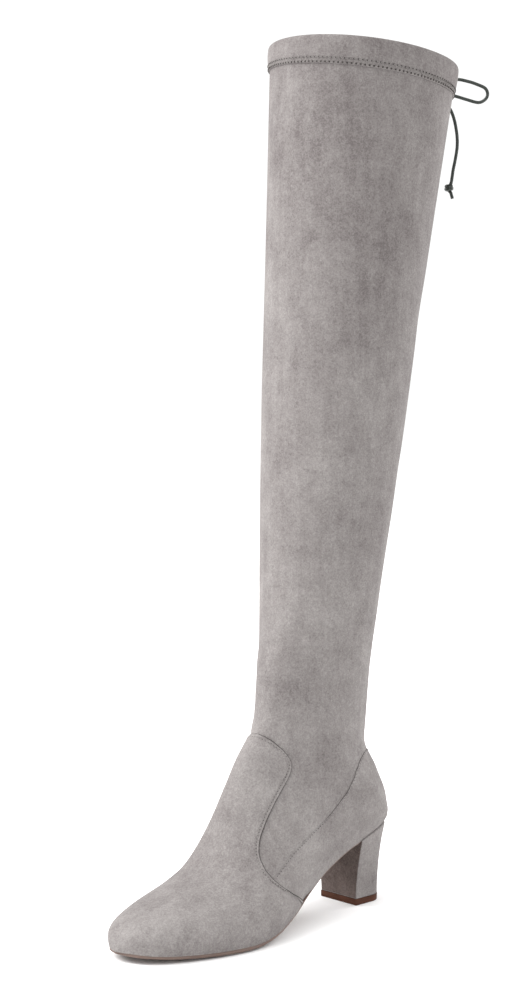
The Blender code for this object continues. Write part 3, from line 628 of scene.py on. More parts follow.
@dataclass
class Last:
    """The form that every suede piece lies on, from the same sizes as the model."""

    length: float = 245.0
    seat_rear: float = 26.0
    ball_width: float = 69.5
    ankle_width: float = 61.5
    heel_seat: float = 54.0
    instep: float = 82.5
    front_height: float = 599.5
    back_height: float = 579.5
    collar_width: float = 125.4
    collar_back: float = 52.0
    collar_front: float = 54.0
    seam_follow: float = 0.35
    clear: float = 0.3
    gap: float = 0.5
    overlay: float = 1.0
    sole: float = 3.8
    table: np.ndarray = field(init=False)
    folds: list[tuple[np.ndarray, float, float]] = field(init=False)

    def __post_init__(self) -> None:
        """Works the sections and the folds out."""
        base = self.sole + self.clear
        half_ankle = self.ankle_width / 2.0
        rows = []
        for f in FOOT:
            sole_z = base + f.lift * (self.heel_seat - base)
            out, into = f.out * self.ball_width, f.into * self.ball_width
            rows.append((self.seat_rear - f.back * self.length, sole_z, out, into,
                         self.seat_rear - f.ridge_back * self.length, sole_z + f.rise * self.instep,
                         out + f.bulge_out * half_ankle, into + f.bulge_in * half_ankle,
                         f.widest, f.round, f.ridge * self.ball_width, (out - into) / 2.0))
        shin_y, shin_z = rows[-1][4], rows[-1][5]
        for s in SHAFT:
            half = half_ankle + s.width * (self.collar_width - self.ankle_width) / 2.0
            centre = s.centre * half_ankle
            rows.append((self.seat_rear + s.back_y * self.collar_back,
                         self.heel_seat + s.back * (self.back_height - self.heel_seat), 0.0, 0.0,
                         shin_y + s.front_y * (-self.collar_front - shin_y),
                         shin_z + s.front * (self.front_height - shin_z),
                         half + centre, half - centre, s.widest, 2.0, centre, self.seam_follow * centre))
        self.table = np.array(rows)
        self.folds = [(self.skin(*zip(f.start, f.middle, f.end)), f.width, f.depth) for f in FOLDS]

    @property
    def rear(self) -> float:
        """Number of the last foot section."""
        return float(len(FOOT) - 1)

    @property
    def top(self) -> float:
        """Number of the collar's section."""
        return float(len(FOOT) + len(SHAFT) - 1)

    @staticmethod
    def rows_at(values: np.ndarray, at: Iterable[float]) -> np.ndarray:
        """Interpolates table rows without overshoot.

        Args:
            values: one row per section.
            at: section numbers, which may be fractions.

        Returns:
            One row for each.
        """
        steps = np.diff(values, axis=0)
        slopes = np.zeros_like(values)
        slopes[0], slopes[-1] = steps[0], steps[-1]
        same = steps[:-1] * steps[1:] > 0.0
        most = 3.0 * np.minimum(np.abs(steps[:-1]), np.abs(steps[1:]))
        mean = (steps[:-1] + steps[1:]) / 2.0
        slopes[1:-1] = np.where(same, np.clip(mean, -most, most), 0.0)
        at = np.clip(np.atleast_1d(np.asarray(at, float)), 0.0, len(values) - 1.0)
        low = np.clip(np.floor(at).astype(int), 0, len(values) - 2)
        return hermite((at - low)[:, None], values[low], values[low + 1], slopes[low], slopes[low + 1])

    def skin(self, at: Iterable[float], around: Iterable[float]) -> np.ndarray:
        """Points of the last's surface.

        Args:
            at: section numbers.
            around: 0 on the ridge or shin, 1 and -1 at the outer and inner ends.

        Returns:
            Points in mm.
        """
        q = self.rows_at(self.table, at)
        sole_y, sole_z, out, into, top_y, top_z, wide_out, wide_in, widest, power, ridge, middle = q.T
        around = np.asarray(around, float)
        side = np.where(around >= 0.0, 1.0, -1.0)
        half = np.maximum((out + into) / 2.0, 0.0)
        wide = np.maximum((wide_out + wide_in) / 2.0, half + 0.001)
        wide_mid = (wide_out - wide_in) / 2.0
        height = np.hypot(top_y - sole_y, top_z - sole_z)
        lower = widest * height + wide - half
        upper = 1.15 * np.hypot((1.0 - widest) * height, wide)
        turn = upper / (upper + lower)
        a = np.abs(around)
        arch = np.clip(1.0 - a / turn, 0.0, 1.0) * math.pi / 2.0
        fall = np.clip((a - turn) / (1.0 - turn), 0.0, 1.0) * math.pi / 2.0
        above = a <= turn
        share = np.where(above, widest + (1.0 - widest) * np.sin(arch) ** (2.0 / power),
                         widest * (1.0 - np.sin(fall)))
        width = np.where(above, wide * np.cos(arch) ** (2.0 / power),
                         np.sqrt(wide ** 2 - (wide ** 2 - half ** 2) * np.sin(fall) ** 2))
        low = np.clip(share / widest, 0.0, 1.0)
        high = np.clip((share - widest) / (1.0 - widest), 0.0, 1.0)
        high = high * high * (3.0 - 2.0 * high)
        centre = np.where(share < widest, middle * (1.0 - low) + wide_mid * low,
                          wide_mid * (1.0 - high) + ridge * high)
        return np.stack([centre + side * width, sole_y + (top_y - sole_y) * share,
                         sole_z + (top_z - sole_z) * share], axis=-1)

    def outward(self, at: np.ndarray, around: np.ndarray) -> np.ndarray:
        """Unit normals of the surface.

        Args:
            at: section numbers.
            around: places around.

        Returns:
            One normal for each.
        """
        at, around = np.asarray(at, float), np.asarray(around, float)
        step = 0.04
        along = (self.skin(np.minimum(at + step, self.top), around)
                 - self.skin(np.maximum(at - step, 0.02), around))
        turn = (self.skin(at, np.minimum(around + step / 2, 1.0))
                - self.skin(at, np.maximum(around - step / 2, -1.0)))
        n = np.cross(turn, along)
        n[(at >= self.rear - 1e-9) & (np.abs(around) >= 1.0 - 1e-9), 0] = 0.0
        n[at < 0.05] = (0.0, -1.0, 0.0)
        return n / np.linalg.norm(n, axis=1)[:, None]

    @staticmethod
    def ease(value: np.ndarray, low: float, high: float) -> np.ndarray:
        """Smooth step from 0 at low to 1 at high."""
        u = np.clip((value - low) / (high - low), 0.0, 1.0)
        return u * u * (3.0 - 2.0 * u)

    def crease(self, points: np.ndarray) -> np.ndarray:
        """Height of the folds.

        Args:
            points: points in mm.

        Returns:
            The height at each, in mm.
        """
        rise = np.zeros(len(points))
        for line, width, depth in self.folds:
            near = np.full(len(points), 1e9)
            share = np.zeros(len(points))
            for i, (a, b) in enumerate(zip(line, line[1:])):
                run = b - a
                u = np.clip(((points - a) @ run) / float(run @ run), 0.0, 1.0)
                d = np.linalg.norm(points - a - u[:, None] * run, axis=1)
                closer = d < near
                near[closer] = d[closer]
                share[closer] = (i + u[closer]) / 2.0
            rise += depth * np.exp(-(near / width) ** 2) * np.sin(np.pi * np.clip(share, 0.08, 0.92))
        return rise

    def face(self, at: Iterable[float], around: Iterable[float], off: np.ndarray | float) -> np.ndarray:
        """Points off the upper's outer face, folds included.

        Args:
            at: section numbers.
            around: places around.
            off: mm outward.

        Returns:
            Points in mm.
        """
        at, around = np.asarray(at, float), np.asarray(around, float)
        points = self.skin(at, around)
        rear, seat = self.seat_rear, self.heel_seat
        vamp = 1.0 - self.ease(points[:, 1], rear - 0.52 * self.length, rear - 0.33 * self.length)
        heel = 1.0 - self.ease(points[:, 2], seat + 0.56 * self.instep, seat + self.instep)
        drop = (self.gap + self.overlay) * (vamp + heel - vamp * heel)
        inward = (drop - off - self.crease(points))[:, None]
        straight = points - self.outward(at, around) * inward
        toe = self.skin([3.0], [0.0])[0]
        reach = 0.059 * self.length
        low = 0.085 * self.instep
        anchor = np.array([toe[0], self.seat_rear - self.length + reach, self.table[3][1] + low])
        drawn = anchor + (points - anchor) * (1.0 - inward / np.array([reach, reach, low]))
        weight = (1.0 - self.ease(at, 1.0, 3.0))[:, None]
        return drawn * weight + straight * (1.0 - weight)

    def even_rows(self, low: float, high: float, gap: float) -> list[float]:
        """Section numbers about a gap apart along the surface.

        Args:
            low: first section.
            high: last section.
            gap: mm between rows.

        Returns:
            Section numbers from low to high.
        """
        at = np.linspace(low, high, 400)
        run = np.zeros(399)
        for around in (0.0, 0.45, -0.45, 0.9, -0.9):
            p = self.skin(at, np.full(400, around))
            run = np.maximum(run, np.linalg.norm(np.diff(p, axis=0), axis=1))
        total = np.concatenate([[0.0], np.cumsum(run)])
        count = max(2, int(math.ceil(total[-1] / gap)) + 1)
        return list(np.interp(np.linspace(0.0, total[-1], count), total, at))

    def around_scale(self, at: float, around: float) -> float:
        """Mm per unit of around at a place."""
        step = 0.01
        a, b = self.skin([at, at], [max(around - step, -1.0), min(around + step, 1.0)])
        return float(np.linalg.norm(b - a)) / (min(around + step, 1.0) - max(around - step, -1.0))

    def at_scale(self, at: float, around: float) -> float:
        """Mm per section at a place."""
        low, high = max(at - 0.05, 0.0), min(at + 0.05, self.top)
        a, b = self.skin([low, high], [around, around])
        return float(np.linalg.norm(b - a)) / (high - low)

    def edge_pair(self, at: float, inset: float, low: float) -> list[np.ndarray]:
        """Points of the sole line on both sides, moved in and down.

        Args:
            at: section number.
            inset: mm inward in plan.
            low: mm below the sole line.

        Returns:
            The outer and the inner point.
        """
        pair = []
        for side in (1.0, -1.0):
            here = self.skin([at], [side])[0]
            before, after = self.skin([max(at - 0.05, 0.0), min(at + 0.05, self.rear)], [side, side])
            ahead = after - before
            n = unit(np.array([ahead[1], -ahead[0], 0.0]) * side)
            if at < 1e-6:
                n = np.array([0.0, -1.0, 0.0])
            if at > self.rear - 1e-6:
                n = np.array([0.0, 1.0, 0.0])
            pair.append(here - n * inset - np.array([0.0, 0.0, low]))
        return pair


class Outline:
    """A smooth edge through a table of points, in sections and around."""

    def __init__(self, points: Sequence[Edge]) -> None:
        """Fits a curve through the points, dense enough to read off.

        Args:
            points: the edge's points, in order.
        """
        knots = np.array([(e.at, e.around) for e in points], float)
        scale = np.array([1.0, 6.0])
        gaps = np.sqrt(np.linalg.norm(np.diff(knots * scale, axis=0), axis=1))
        t = np.concatenate([[0.0], np.cumsum(gaps)])
        slopes = np.gradient(knots, t, axis=0)
        dense = []
        for i in range(len(knots) - 1):
            h = t[i + 1] - t[i]
            dense += [hermite(u, knots[i], knots[i + 1], h * slopes[i], h * slopes[i + 1])
                      for u in np.linspace(0.0, 1.0, 12, endpoint=False)]
        dense.append(knots[-1])
        self.line = np.array(dense)

    def around(self, at: float) -> float:
        """Place around where the edge crosses a section."""
        order = np.argsort(self.line[:, 0], kind="stable")
        return float(np.interp(at, self.line[order, 0], self.line[order, 1]))

    def at(self, around: float) -> float:
        """Section where the edge crosses a place around."""
        order = np.argsort(self.line[:, 1], kind="stable")
        return float(np.interp(around, self.line[order, 1], self.line[order, 0]))


class RimStep(NamedTuple):
    """A step of an overlay's rim: mm out from its edge and share of its height."""

    out: float
    height: float


RIM = (
    RimStep(0.10, 0.95), RimStep(0.17, 0.82), RimStep(0.18, 0.50), RimStep(0.60, 0.34), RimStep(0.62, 0.06),
)


class Patchwork:
    """Welded places on the last and the faces between them."""

    def __init__(self, last: Last) -> None:
        """Starts an empty patchwork."""
        self.last = last
        self.places: list[tuple[float, float]] = []
        self.index: dict[tuple[float, float], int] = {}
        self.faces: list[list[int]] = []

    def place(self, at: float, around: float) -> int:
        """Number of a place, welded at the toe and the back seam.

        Args:
            at: its section number.
            around: its place around.

        Returns:
            Its number, a new one where the place is new.
        """
        at = min(max(at, 0.0), self.last.top)
        if at < 1e-6:
            at, around = 0.0, 0.0
        if at >= self.last.rear - 1e-6 and abs(around) > 1.0 - 1e-6:
            around = 1.0
        key = (round(at, 5), round(around, 5))
        if key not in self.index:
            self.index[key] = len(self.places)
            self.places.append((at, around))
        return self.index[key]

    def grid(self, rows: Sequence[Sequence[tuple[float, float]]]) -> None:
        """Adds faces between neighbouring rows of places.

        Args:
            rows: rows of equal length, of places (section, around).
        """
        marks = [[self.place(*spot) for spot in row] for row in rows]
        for one, two in zip(marks, marks[1:]):
            for j in range(len(one) - 1):
                face: list[int] = []
                for v in (one[j], one[j + 1], two[j + 1], two[j]):
                    if v not in face:
                        face.append(v)
                if len(face) > 2:
                    self.faces.append(face)

    def arrays(self) -> tuple[np.ndarray, np.ndarray]:
        """The places as two arrays."""
        spots = np.array(self.places)
        return spots[:, 0], spots[:, 1]

    def border(self) -> list[tuple[int, int, int]]:
        """Every border edge, with the number of its face."""
        edges = {(a, b): i for i, face in enumerate(self.faces) for a, b in zip(face, face[1:] + face[:1])}
        return [(a, b, i) for (a, b), i in edges.items() if (b, a) not in edges]

    def shell(self, outer: np.ndarray, inner: np.ndarray) -> tuple[np.ndarray, list[list[int]]]:
        """Closes the patchwork between two faces.

        Args:
            outer: outer points of every place.
            inner: inner points of every place.

        Returns:
            Points and faces; the rim faces come last.
        """
        n = len(self.places)
        faces = [list(f) for f in self.faces] + [[v + n for v in reversed(f)] for f in self.faces]
        faces += [[b, a, a + n, b + n] for a, b, _ in self.border()]
        return np.vstack([outer, inner]), faces

    def rimmed(self, outer: np.ndarray, inner: np.ndarray, rim: Sequence[RimStep],
               reach: np.ndarray) -> tuple[np.ndarray, list[list[int]], set[int]]:
        """Closes the patchwork with a shaped rim.

        Args:
            outer: outer points of every place.
            inner: inner points of every place.
            rim: the rim's steps from the outer face down to the inner one.
            reach: how far the rim's steps go out at every place, 1 in full.

        Returns:
            Points, faces and the numbers of the faces on the rim's lip, which can take the painted shadow.
        """
        n = len(self.places)
        normal = self.last.outward(*self.arrays())
        away = np.zeros((n, 3))
        border = self.border()
        for a, b, i in border:
            side = np.cross(outer[b] - outer[a], normal[a])
            if side @ ((outer[a] + outer[b]) / 2.0 - outer[self.faces[i]].mean(axis=0)) < 0.0:
                side = -side
            away[a] += unit(side)
            away[b] += unit(side)
        away = unit(away)
        marks = sorted({v for a, b, _ in border for v in (a, b)})
        number = {v: k for k, v in enumerate(marks)}
        points = [outer, inner]
        for step in rim:
            ring = inner + (outer - inner) * step.height + away * (step.out * reach)[:, None]
            points.append(ring[marks])
        faces = [list(f) for f in self.faces] + [[v + n for v in reversed(f)] for f in self.faces]
        painted_shadow: set[int] = set()
        for a, b, _ in border:
            left = [a] + [2 * n + k * len(marks) + number[a] for k in range(len(rim))] + [a + n]
            right = [b] + [2 * n + k * len(marks) + number[b] for k in range(len(rim))] + [b + n]
            for k in range(len(left) - 1):
                if k >= len(rim) - 2:
                    painted_shadow.add(len(faces))
                faces.append([right[k], left[k], left[k + 1], right[k + 1]])
        return np.vstack(points), faces, painted_shadow


def make_piece(name: str, points: np.ndarray, faces: Sequence[Sequence[int]],
               materials: Sequence[Material], pick: Callable[[int], int] | None = None,
               fold_angle: float = 50.0, round_edges: float = 0.0) -> Object:
    """Makes one smooth closed mesh object at the origin.

    Args:
        name: the piece's name.
        points: points in mm.
        faces: its faces.
        materials: its material slots.
        pick: gives the slot of a face by its number; the first where None.
        fold_angle: edges sharper than this, in degrees, stay sharp.
        round_edges: mm taken off such edges, or 0.

    Returns:
        The object.
    """
    mesh = bpy.data.meshes.new(name)
    mesh.from_pydata([tuple(p) for p in np.asarray(points, float) * MM], [], [list(f) for f in faces])
    for material in materials:
        mesh.materials.append(material)
    if pick is not None:
        mesh.polygons.foreach_set("material_index", [pick(i) for i in range(len(mesh.polygons))])
    work = bmesh.new()
    work.from_mesh(mesh)
    bmesh.ops.recalc_face_normals(work, faces=work.faces)
    if work.calc_volume(signed=True) < 0.0:
        bmesh.ops.reverse_faces(work, faces=work.faces)
    if round_edges > 0.0:
        sharp = [edge for edge in work.edges
                 if len(edge.link_faces) == 2 and edge.calc_face_angle() > math.radians(fold_angle)]
        bmesh.ops.bevel(work, geom=sharp, offset=round_edges * MM, offset_type="OFFSET", segments=2,
                        profile=0.5, affect="EDGES", clamp_overlap=True)
    work.to_mesh(mesh)
    work.free()
    mesh.shade_smooth()
    mesh.set_sharp_from_angle(angle=math.radians(fold_angle))
    return add_object(name, mesh)


def settle(item: Object, replaces: Sequence[str] = ()) -> Object:
    """Rides a piece on the boot, hides the CAD nodes that it stands for and logs its faces.

    Args:
        item: the piece.
        replaces: CAD nodes that it stands for.

    Returns:
        The piece.
    """
    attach(item, BODY)
    if replaces:
        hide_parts(*replaces)
    LOG.info("%s: %d faces", item.name, len(item.data.polygons))
    return item


def ring_quads(rings: int, size: int, closed: bool = False) -> list[list[int]]:
    """Quads between closed rings of equal size.

    Args:
        rings: how many rings.
        size: points on a ring.
        closed: whether the last ring joins the first.

    Returns:
        The quads.
    """
    pairs = [(i * size, (i + 1) % rings * size) for i in range(rings if closed else rings - 1)]
    return [[a + j, a + (j + 1) % size, b + (j + 1) % size, b + j] for a, b in pairs for j in range(size)]


class Threadwork:
    """Stitches and threads laid along lines with Geometry Nodes."""

    def __init__(self, thread: Material, hole: Material) -> None:
        """Builds the node trees for the thread and its needle holes.

        Args:
            thread: the thread's material.
            hole: the needle holes' material, dark as the painted shade inside the holes.
        """
        self.rows = self._stitch_tree(thread)
        self.runs = self._run_tree(thread)
        self.holes = self._stitch_tree(hole)

    @staticmethod
    def _tree(name: str, sizes: Sequence[str]) -> tuple[NodeTree, Node, Node]:
        """Starts a tree with a geometry input and named sizes.

        Args:
            name: the tree's name.
            sizes: its size inputs, in metres.

        Returns:
            The tree, its input node and its output node.
        """
        tree = bpy.data.node_groups.new(name, "GeometryNodeTree")
        tree.interface.new_socket("Line", in_out="INPUT", socket_type="NodeSocketGeometry")
        for size in sizes:
            tree.interface.new_socket(size, in_out="INPUT", socket_type="NodeSocketFloat")
        tree.interface.new_socket("Threads", in_out="OUTPUT", socket_type="NodeSocketGeometry")
        return tree, tree.nodes.new("NodeGroupInput"), tree.nodes.new("NodeGroupOutput")

    @staticmethod
    def _finish(tree: NodeTree, threads: Node, material: Material, out: Node) -> NodeTree:
        """Realizes, smooths and colours the threads.

        Args:
            tree: the tree to finish.
            threads: the node that makes the threads.
            material: their material.
            out: the tree's output node.

        Returns:
            The finished tree.
        """
        real = add_node(tree, "GeometryNodeRealizeInstances", {}, {0: threads.outputs[0]})
        smooth = add_node(tree, "GeometryNodeSetShadeSmooth", {}, {0: real.outputs[0]})
        paint = add_node(tree, "GeometryNodeSetMaterial", {}, {0: smooth.outputs[0], "Material": material})
        feed(out.inputs[0], paint.outputs[0])
        return tree

    def _stitch_tree(self, material: Material) -> NodeTree:
        """Short stitches in a material, one every spacing, along the line.

        Args:
            material: the stitches' material.

        Returns:
            The tree.
        """
        tree, start, out = self._tree("stitch_row", ("Spacing", "Stitch", "Thread"))
        curve = add_node(tree, "GeometryNodeMeshToCurve", {}, {0: start.outputs["Line"]})
        even = add_node(tree, "GeometryNodeResampleCurve", {"mode": "LENGTH"},
                        {"Curve": curve.outputs[0], "Length": start.outputs["Spacing"]})
        ball = add_node(tree, "GeometryNodeMeshUVSphere", {}, {"Segments": 6, "Rings": 5, "Radius": 0.5})
        thread = start.outputs["Thread"]
        size = add_node(tree, "ShaderNodeCombineXYZ", {}, {0: start.outputs["Stitch"], 1: thread, 2: thread})
        tangent = add_node(tree, "GeometryNodeInputTangent")
        turn = add_node(tree, "FunctionNodeAlignRotationToVector", {"axis": "X"},
                        {"Vector": tangent.outputs[0]})
        lay = add_node(tree, "GeometryNodeInstanceOnPoints", {}, {
            "Points": even.outputs[0], "Instance": ball.outputs[0],
            "Rotation": turn.outputs[0], "Scale": size.outputs[0]})
        return self._finish(tree, lay, material, out)

    def _run_tree(self, material: Material) -> NodeTree:
        """One thread in a material that runs along the line.

        Args:
            material: the thread's material.

        Returns:
            The tree.
        """
        tree, start, out = self._tree("thread_run", ("Thread",))
        curve = add_node(tree, "GeometryNodeMeshToCurve", {}, {0: start.outputs["Line"]})
        half = Wire(tree, start.outputs["Thread"]) * 0.5
        ring = add_node(tree, "GeometryNodeCurvePrimitiveCircle", {}, {"Resolution": 5, "Radius": half})
        sweep = add_node(tree, "GeometryNodeCurveToMesh", {}, {
            "Curve": curve.outputs[0], "Profile Curve": ring.outputs[0], "Fill Caps": True})
        return self._finish(tree, sweep, material, out)

    @staticmethod
    def sew(name: str, lines: Sequence[np.ndarray], tree: NodeTree,
            sizes: Mapping[str, float]) -> Object:
        """Runs a tree along lines and keeps the plain mesh.

        Args:
            name: the piece's name.
            lines: paths in mm.
            tree: the stitches' or the thread's tree.
            sizes: the tree's sizes in mm, by name.

        Returns:
            The threads as one mesh object.
        """
        points: list[tuple[float, ...]] = []
        edges: list[tuple[int, int]] = []
        for line in lines:
            edges += [(len(points) + i, len(points) + i + 1) for i in range(len(line) - 1)]
            points += [tuple(p) for p in np.asarray(line) * MM]
        mesh = bpy.data.meshes.new(name + "_line")
        mesh.from_pydata(points, edges, [])
        guide = add_object(name + "_line", mesh)
        modifier = guide.modifiers.new("threads", "NODES")
        modifier.node_group = tree
        for socket in tree.interface.items_tree:
            if socket.in_out == "INPUT" and socket.name in sizes:
                modifier[socket.identifier] = sizes[socket.name] * MM
        bpy.context.view_layer.update()
        held = bpy.context.evaluated_depsgraph_get()
        made = bpy.data.meshes.new_from_object(guide.evaluated_get(held))
        bpy.data.objects.remove(guide, do_unlink=True)
        made.name = name
        return add_object(name, made)

    def stitches(self, name: str, lines: Sequence[np.ndarray], size: Stitch) -> list[Object]:
        """A row of stitches along each line, with a needle hole at each end of a stitch, dark with painted
        shade.

        Args:
            name: the piece's name.
            lines: paths in mm.
            size: the stitches' sizes.

        Returns:
            The stitches and the holes.
        """
        sewn = self.sew(name, lines, self.rows,
                        {"Spacing": size.spacing, "Stitch": size.length, "Thread": size.thread})
        # The holes are dark marks: painted shade in the needle holes.
        moved = [self.later(line, size.spacing / 2.0) for line in lines]
        holes = self.sew(name + "_holes", moved, self.holes,
                         {"Spacing": size.spacing, "Stitch": size.hole, "Thread": size.hole * 0.8})
        return [settle(sewn), settle(holes)]

    @staticmethod
    def later(line: np.ndarray, start: float) -> np.ndarray:
        """The line without its first few mm."""
        run = path_run(line)
        first = np.array([np.interp(start, run, line[:, k]) for k in range(3)])
        return np.vstack([first, line[run > start]])

    def threads(self, name: str, lines: Sequence[np.ndarray], thread: float) -> Object:
        """A thread along each line."""
        return self.sew(name, lines, self.runs, {"Thread": thread})


def near_line(points: np.ndarray, line: np.ndarray) -> np.ndarray:
    """Distance of each point from a dense line.

    Args:
        points: points in mm.
        line: the line's points.

    Returns:
        One distance for each point, in mm.
    """
    tree = KDTree(len(line))
    for i, p in enumerate(line):
        tree.insert(Vector(p), i)
    tree.balance()
    return np.array([tree.find(Vector(p))[2] for p in points])


@dataclass
class SuedeUpper:
    """Foot and shaft in one wall, with its lining.

    below_edge: how far the wall ends under the hem's fold, in mm
    """

    last: Last
    wall: float = 1.5
    row_gap: float = 3.3
    columns: int = 96
    below_edge: float = 1.2

    def build(self, suede: Material, lining: Material) -> Object:
        """Makes the upper.

        Args:
            suede: the outer face's material.
            lining: the inner face's material.

        Returns:
            The piece.
        """
        last = self.last
        around = np.linspace(-1.0, 1.0, self.columns + 1)
        end = last.top - self.below_edge / last.at_scale(last.top, 0.5)
        rows = last.even_rows(0.0, last.rear, self.row_gap) + last.even_rows(last.rear, end, self.row_gap)[1:]
        patch = Patchwork(last)
        patch.grid([[(t, c) for c in around] for t in rows])
        at, spots = patch.arrays()
        points, faces = patch.shell(last.face(at, spots, 0.0), last.face(at, spots, -self.wall))
        count = len(patch.faces)
        item = make_piece("suede_upper", points, faces, [suede, lining],
                          lambda i: 1 if count <= i < 2 * count else 0)
        return settle(item, ["upper"])


@dataclass
class Overlay:
    """What the two suede overlays share: thickness, skived edge, rim and stitches.

    under: gap between the upper and the overlay, in mm
    lap: how far the lower edge reaches down over the sole's top line
    tip_lap: how far the edge at the toe's tip ends under that line
    """

    last: Last
    under: float = 0.12
    thick: float = 1.0
    stitch_in: float = 1.8
    lap: float = 0.5
    tip_lap: float = 0.3

    @property
    def full(self) -> float:
        """Height of the outer face over the upper, in mm."""
        return self.last.gap + self.thick

    def turn_under(self, outer: np.ndarray, inner: np.ndarray, at: np.ndarray, around: np.ndarray) -> None:
        """Draws the lower edge down over the sole's top line.

        Args:
            outer: outer points, moved in place.
            inner: inner points, moved in place.
            at: each point's section.
            around: each point's place around.
        """
        low = (np.abs(around) > SOLE_LINE) | (at < 0.001)
        seat = self.last.edge_pair(TIP_LEVEL, 0.0, self.last.clear)[0][2]
        front = low & (at < TIP_LEVEL)
        drop = np.maximum(outer[front, 2] - self.lap - seat + self.tip_lap, 0.0)
        outer[front, 2] -= drop
        inner[front, 2] -= drop
        outer[low, 2] -= self.lap
        inner[low, 2] -= self.lap * 0.5

    @staticmethod
    def dense(line: np.ndarray, count: int) -> np.ndarray:
        """A line of places with many more points."""
        steps = np.linspace(0.0, 1.0, count)
        marks = np.linspace(0.0, 1.0, len(line))
        return np.column_stack([np.interp(steps, marks, line[:, k]) for k in (0, 1)])

    def inset(self, line: np.ndarray, toward: np.ndarray, under: float) -> np.ndarray:
        """Moves a line of places in from the edge and onto the overlay's face.

        Args:
            line: places (section, around) along the edge.
            toward: the inner direction of each, as a step in places.
            under: how far the thread's middle lies under the full height, in mm.

        Returns:
            Points for the stitches, in mm.
        """
        here = self.last.skin(line[:, 0], line[:, 1])
        there = self.last.skin(line[:, 0] + toward[:, 0], line[:, 1] + toward[:, 1])
        share = self.stitch_in / np.linalg.norm(there - here, axis=1)
        spots = line + toward * share[:, None]
        return self.last.face(spots[:, 0], spots[:, 1], self.full - under)


